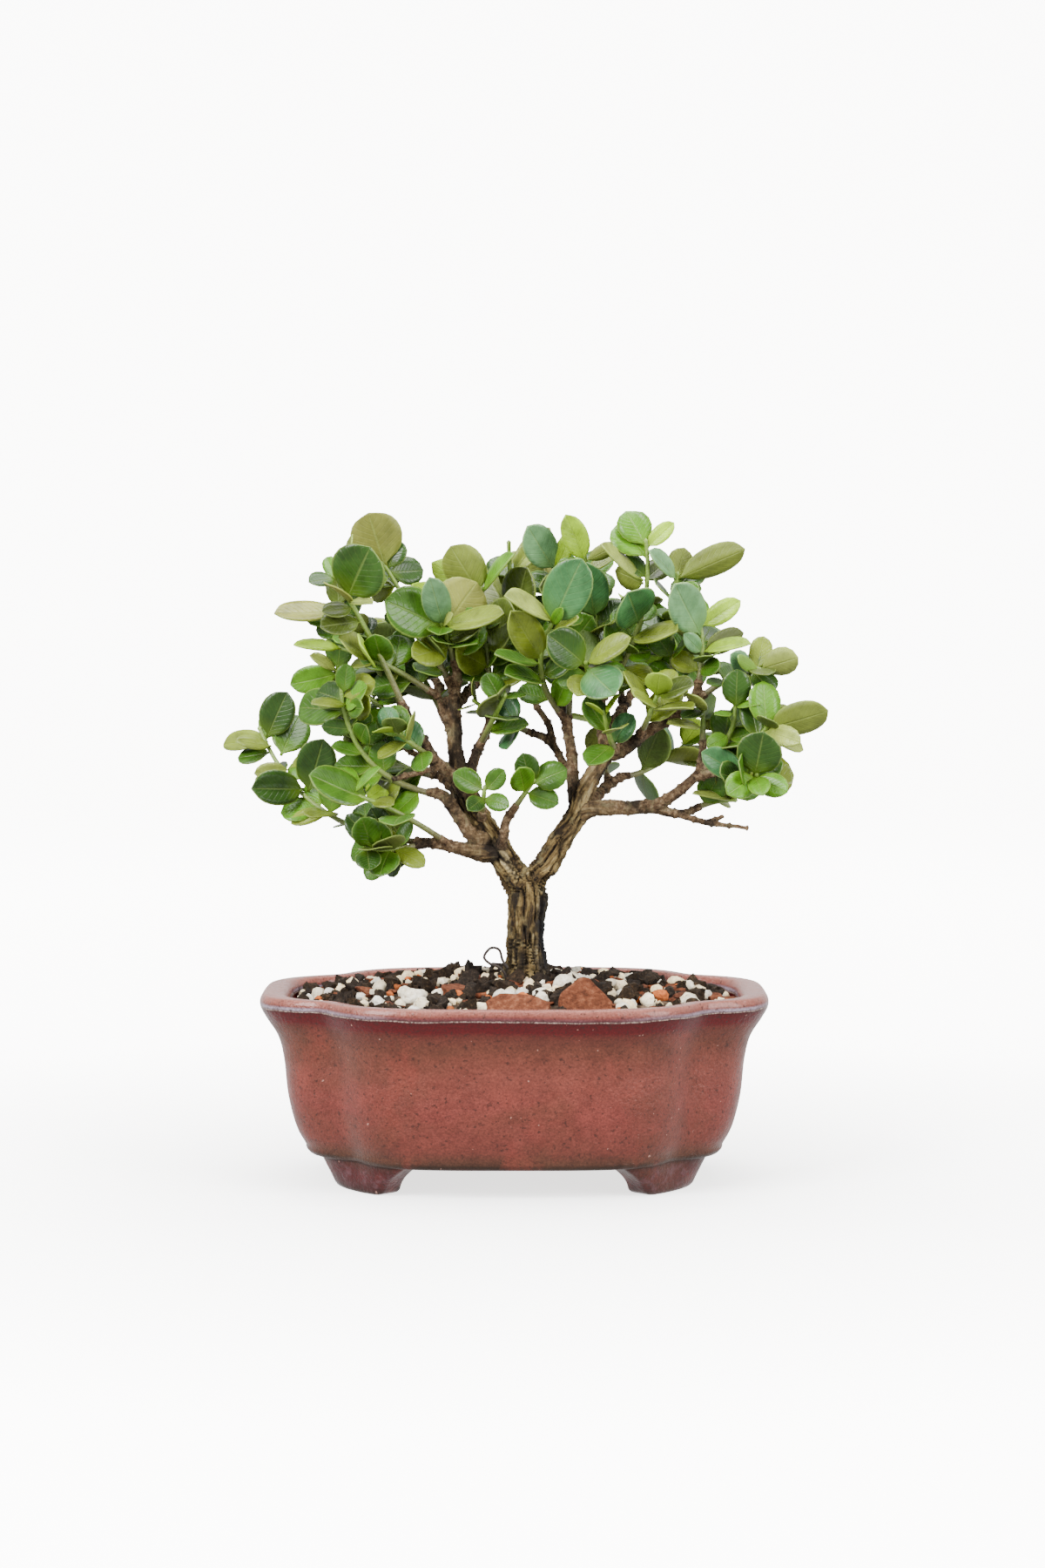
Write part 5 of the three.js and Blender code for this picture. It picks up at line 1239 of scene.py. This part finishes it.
def blade_turn(root, tip, face):
    along = unit(tip - root)
    up = unit(face - along * (face @ along))
    return along, up, np.cross(along, up)


def tree_of(places):
    tree = KDTree(len(places))
    for i, place in enumerate(places):
        tree.insert(place, i)
    tree.balance()
    return tree


def grown_tip(root, tip, face, corners):
    """Where the solid's blade ends, out of the places that it may have bent to"""
    nearest = None
    for shift, share in LEAF_BENDS:
        bent = mix(root, tip + np.array(shift, float), share)
        up = blade_turn(root, bent, face)[1]
        miss = max(corners.find((bent + up * side * BLADE_THICKNESS / 2) * MM)[2] for side in (-1, 1))
        if nearest is None or miss < nearest[0]:
            nearest = (miss, bent)
    return nearest[1] if nearest[0] < TIP_MISS * MM else None


def leaf_spots(root, tip, *_):
    return [mix(root, tip, share) for share in (0.35, 0.65, 0.95)]


def filling_leaves(line, number, taken, shown):
    """Smaller leaf pairs between the large ones, where there is room, that give the crown its depth"""
    grown = []
    for i in range(FILL_PAIRS):
        seed = 20000 + number * 97 + i * 7
        place = mix(line.stem_start, 1, (i + 0.1 + 0.8 * draw(seed)) / FILL_PAIRS)
        along, east, north = line.crossed(place)
        first = draw(seed + 1) * 2 * math.pi
        size = mix(*FILL_LENGTH, draw(seed + 2))
        opening = math.radians(mix(*FILL_OPENING, draw(seed + 3)))
        for side, angle in enumerate((first, first + math.pi)):
            outward = east * math.cos(angle) + north * math.sin(angle)
            root, tip = blade_place(line.at(place), along, outward, size, opening)
            spots = np.array(leaf_spots(root, tip))
            crowded = np.linalg.norm(taken[:, None] - spots, axis=2).min() < FILL_ROOM
            apart = np.hypot(shown[:, None, 0] - spots[:, 0], shown[:, None, 2] - spots[:, 2])
            hides = ((shown[:, None, 1] > spots[:, 1] + 0.5) & (apart <= FILL_SHOWN)).any()
            astray = apart.min(axis=0).max() > FILL_REACH or spots[:, 1].max() > FILL_BACK
            bare = abs(tip[0] - BARE_MIDDLE) < BARE_HALF and spots[:, 2].min() < BARE_BELOW
            if crowded or hides or astray or bare:
                continue
            taken = np.concatenate([taken, spots])
            face = along * 0.3 + np.array([0, -0.8, 0.55])
            # The filling leaves' mostly dark letters paint shade deep in the crown.
            tint = FILL_TINTS[int(draw(seed + 4 + side) * len(FILL_TINTS))]
            grown.append((root, tip, face, mix(*FILL_WIDTH, draw(seed + 6)), tint))
    return grown, taken


def stem_piece(line):
    """The green stem from its spur to a blunt tip, older and browner near the wood"""
    shares = np.linspace(line.spur_end - 0.5 / line.length, 1, STEM_KNOTS)
    points = [line.at(t) for t in shares]
    radii = [mix(*STEM_RADIUS, (t - shares[0]) / (1 - shares[0])) for t in shares]
    axis = tree_of([Vector(point) * MM for point in points])
    ending = [line.end + line.direction(1) * reach for reach in STEM_END_REACH]
    stem = tube("stem", points + ending, radii + STEM_END_RADIUS, 2)
    coated(stem, STEM)
    bpy.ops.object.shade_smooth()
    ages = [max(0.0, 0.9 - 1.5 * axis.find(v.co)[1] / (len(shares) - 1)) for v in stem.data.vertices]
    stem.data.attributes.new("age", "FLOAT", "POINT").data.foreach_set("value", ages)
    return stem


def leaf_piece(root, tip, face, ratio, bend, colour):
    along, up, side = blade_turn(root, tip, face)
    length = np.linalg.norm(tip - root)
    columns = [side * ratio * length, along * length, up * length, root]
    matrix = Matrix([[*(column[k] * MM for column in columns)] for k in range(3)] + [[0, 0, 0, 1]])
    leaf = copied((large_blades if length > LARGE_LEAF else small_blades)[bend], matrix)
    tinted(leaf, colour)
    return leaf


small_blades = [blade_master(4, 7, *bend) for bend in BLADE_BENDS]
large_blades = [blade_master(6, 11, *bend) for bend in BLADE_BENDS]
absent = []
crown = {}
for number, (name, _, _, _, _, *rest) in enumerate(SHOOTS):
    if name in TINTS:
        leaves = set_leaves(lines[name], *rest, TINTS[name])
    else:
        leaves = paired_leaves(lines[name], *rest, number - len(SET_SHOOTS) + 1)
    corners = tree_of([vertex.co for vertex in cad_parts["shoot_" + name].data.vertices])
    crown[name] = []
    for i, (root, tip, *looks) in enumerate(leaves):
        tip = grown_tip(root, tip, looks[0], corners)
        if tip is None:
            absent.append((name, i))
        else:
            crown[name].append((root, tip, *looks))
taken = np.array([spot for leaves in crown.values() for leaf in leaves for spot in leaf_spots(*leaf)])
shown = np.array([spot for name in TINTS for leaf in crown[name] for spot in leaf_spots(*leaf)])
for number, name in enumerate(crown):
    more, taken = filling_leaves(lines[name], number, taken, shown)
    crown[name] += more
for number, (name, leaves) in enumerate(crown.items()):
    parts = [stem_piece(lines[name])]
    for i, (*blade, tint) in enumerate(leaves):
        light = mix(*LEAF_LIGHT, draw(number * 50 + i + 9000))
        colour = [c * light for c in LEAF_COLOURS[tint]]
        parts.append(leaf_piece(*blade, (number * 3 + i * 5) % len(BLADE_BENDS), colour))
    shoot = joined(parts, f"shoot_{name}_piece")
    kept_in_box(shoot)
    finish_piece(shoot, "leaf", "shoot_" + name)
for blade in small_blades + large_blades:
    bpy.data.objects.remove(blade)
print("leaves absent in the solids:", absent, "leaves:", sum(map(len, crown.values())))

# A dry curled root that sticks up from the soil
ROOT_RADIUS = 0.42
ROOT_KNOTS = [
    (-2.2, -5, 60.0), (-3.0, -7, 63.5), (-5.0, -8, 65.6), (-7.5, -8.5, 66.6), (-9.2, -8, 68.6),
    (-7.2, -7.5, 71.2), (-4.6, -7, 70.6), (-3.6, -6.5, 67.4), (-2.0, -6, 65.0),
]
knots = smooth_rows([[*knot, ROOT_RADIUS] for knot in ROOT_KNOTS], 6)
dry_root = tube("dry_root", knots[:, :3], knots[:, 3], 1)
coated(dry_root, ROOT)
finish_piece(dry_root, "soil", smooth=60)

for side in ("screen_left", "screen_right"):
    coated(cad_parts[side], SCREEN)

# Studio, in metres: a pale sweep, its glow dimmed near the pot as a painted pool of shade, and soft lights
FLOOR_SIZE, FLOOR_MIDDLE = (40, 31.5, 1), (0, -14.25, 0)
SWEEP_STEPS, SWEEP_STEP, BACK_RISE = 8, 0.118, 2.4
LIGHTS_AIM = Vector((0, 0, 0.1))
deselect()
bpy.ops.mesh.primitive_plane_add(size=1)
floor = bpy.context.object
floor.name = "pale_floor"
floor.scale = FLOOR_SIZE
floor.location = FLOOR_MIDDLE
bpy.ops.object.transform_apply(location=True, rotation=True, scale=True)
bpy.ops.object.mode_set(mode="EDIT")
bpy.ops.mesh.select_all(action="DESELECT")
bpy.ops.object.mode_set(mode="OBJECT")
for edge in floor.data.edges:
    edge.select = all(floor.data.vertices[v].co.y > 1 for v in edge.vertices)
bpy.ops.object.mode_set(mode="EDIT")
bpy.ops.mesh.select_mode(type="EDGE")
for turn in range(SWEEP_STEPS):
    angle = math.radians((turn + 0.5) * 90 / SWEEP_STEPS)
    bpy.ops.mesh.extrude_region_move(
        TRANSFORM_OT_translate={"value": (0, SWEEP_STEP * math.cos(angle), SWEEP_STEP * math.sin(angle))})
bpy.ops.mesh.extrude_region_move(TRANSFORM_OT_translate={"value": (0, 0, BACK_RISE)})
bpy.ops.object.mode_set(mode="OBJECT")
bpy.ops.object.shade_smooth()
paper = Finish("pale_paper", 0.9, Base_Color=(0.93, 0.93, 0.925, 1), Emission_Color=(1, 0.985, 0.965, 1))
# The paper's glow is dimmed near the pot. This paints a pool of shade there, in which the pot's own shadow
# also shows.
from_pot = paper.node("ShaderNodeVectorMath", operation="LENGTH")
paper.feed(from_pot.inputs[0], paper.here)
glow_with_painted_shade = paper.ramp(from_pot.outputs["Value"], (0.07, 0.24), (0.30, 0.75), (0.9, 1.0))
paper.feed(paper.shader.inputs["Emission Strength"], paper.times(glow_with_painted_shade, 9.0))
coated(floor, paper.material)
floor.visible_diffuse = False
floor.visible_glossy = False
floor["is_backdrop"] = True


def soft_light(name, place, size, power):
    data = bpy.data.lights.new(name, "AREA")
    data.shape = "RECTANGLE"
    data.size, data.size_y = size
    data.energy = power
    lamp = bpy.data.objects.new(name, data)
    lamp.location = place
    lamp.rotation_euler = (LIGHTS_AIM - Vector(place)).to_track_quat("-Z", "Y").to_euler()
    scene.collection.objects.link(lamp)


soft_light("key_left", (-0.9, -0.8, 0.85), (0.6, 0.6), 48)
soft_light("fill_right", (1.0, -0.7, 0.6), (0.6, 0.8), 30)
soft_light("top", (0, 0.1, 1.2), (0.9, 0.8), 36)
world = bpy.data.worlds.new("studio")
scene.world = world
world.use_nodes = True
sky = world.node_tree.nodes["Background"]
sky.inputs["Color"].default_value = (1, 1, 1, 1)
seen = world.node_tree.nodes.new("ShaderNodeLightPath").outputs["Is Camera Ray"]
strength = world.node_tree.nodes.new("ShaderNodeMapRange")
strength.inputs["To Min"].default_value = 1.3
strength.inputs["To Max"].default_value = 9.8
world.node_tree.links.new(seen, strength.inputs["Value"])
world.node_tree.links.new(strength.outputs["Result"], sky.inputs["Strength"])

sizes = {"cad": [list(corner) for corner in cad_box], "visual": [list(corner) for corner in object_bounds()]}
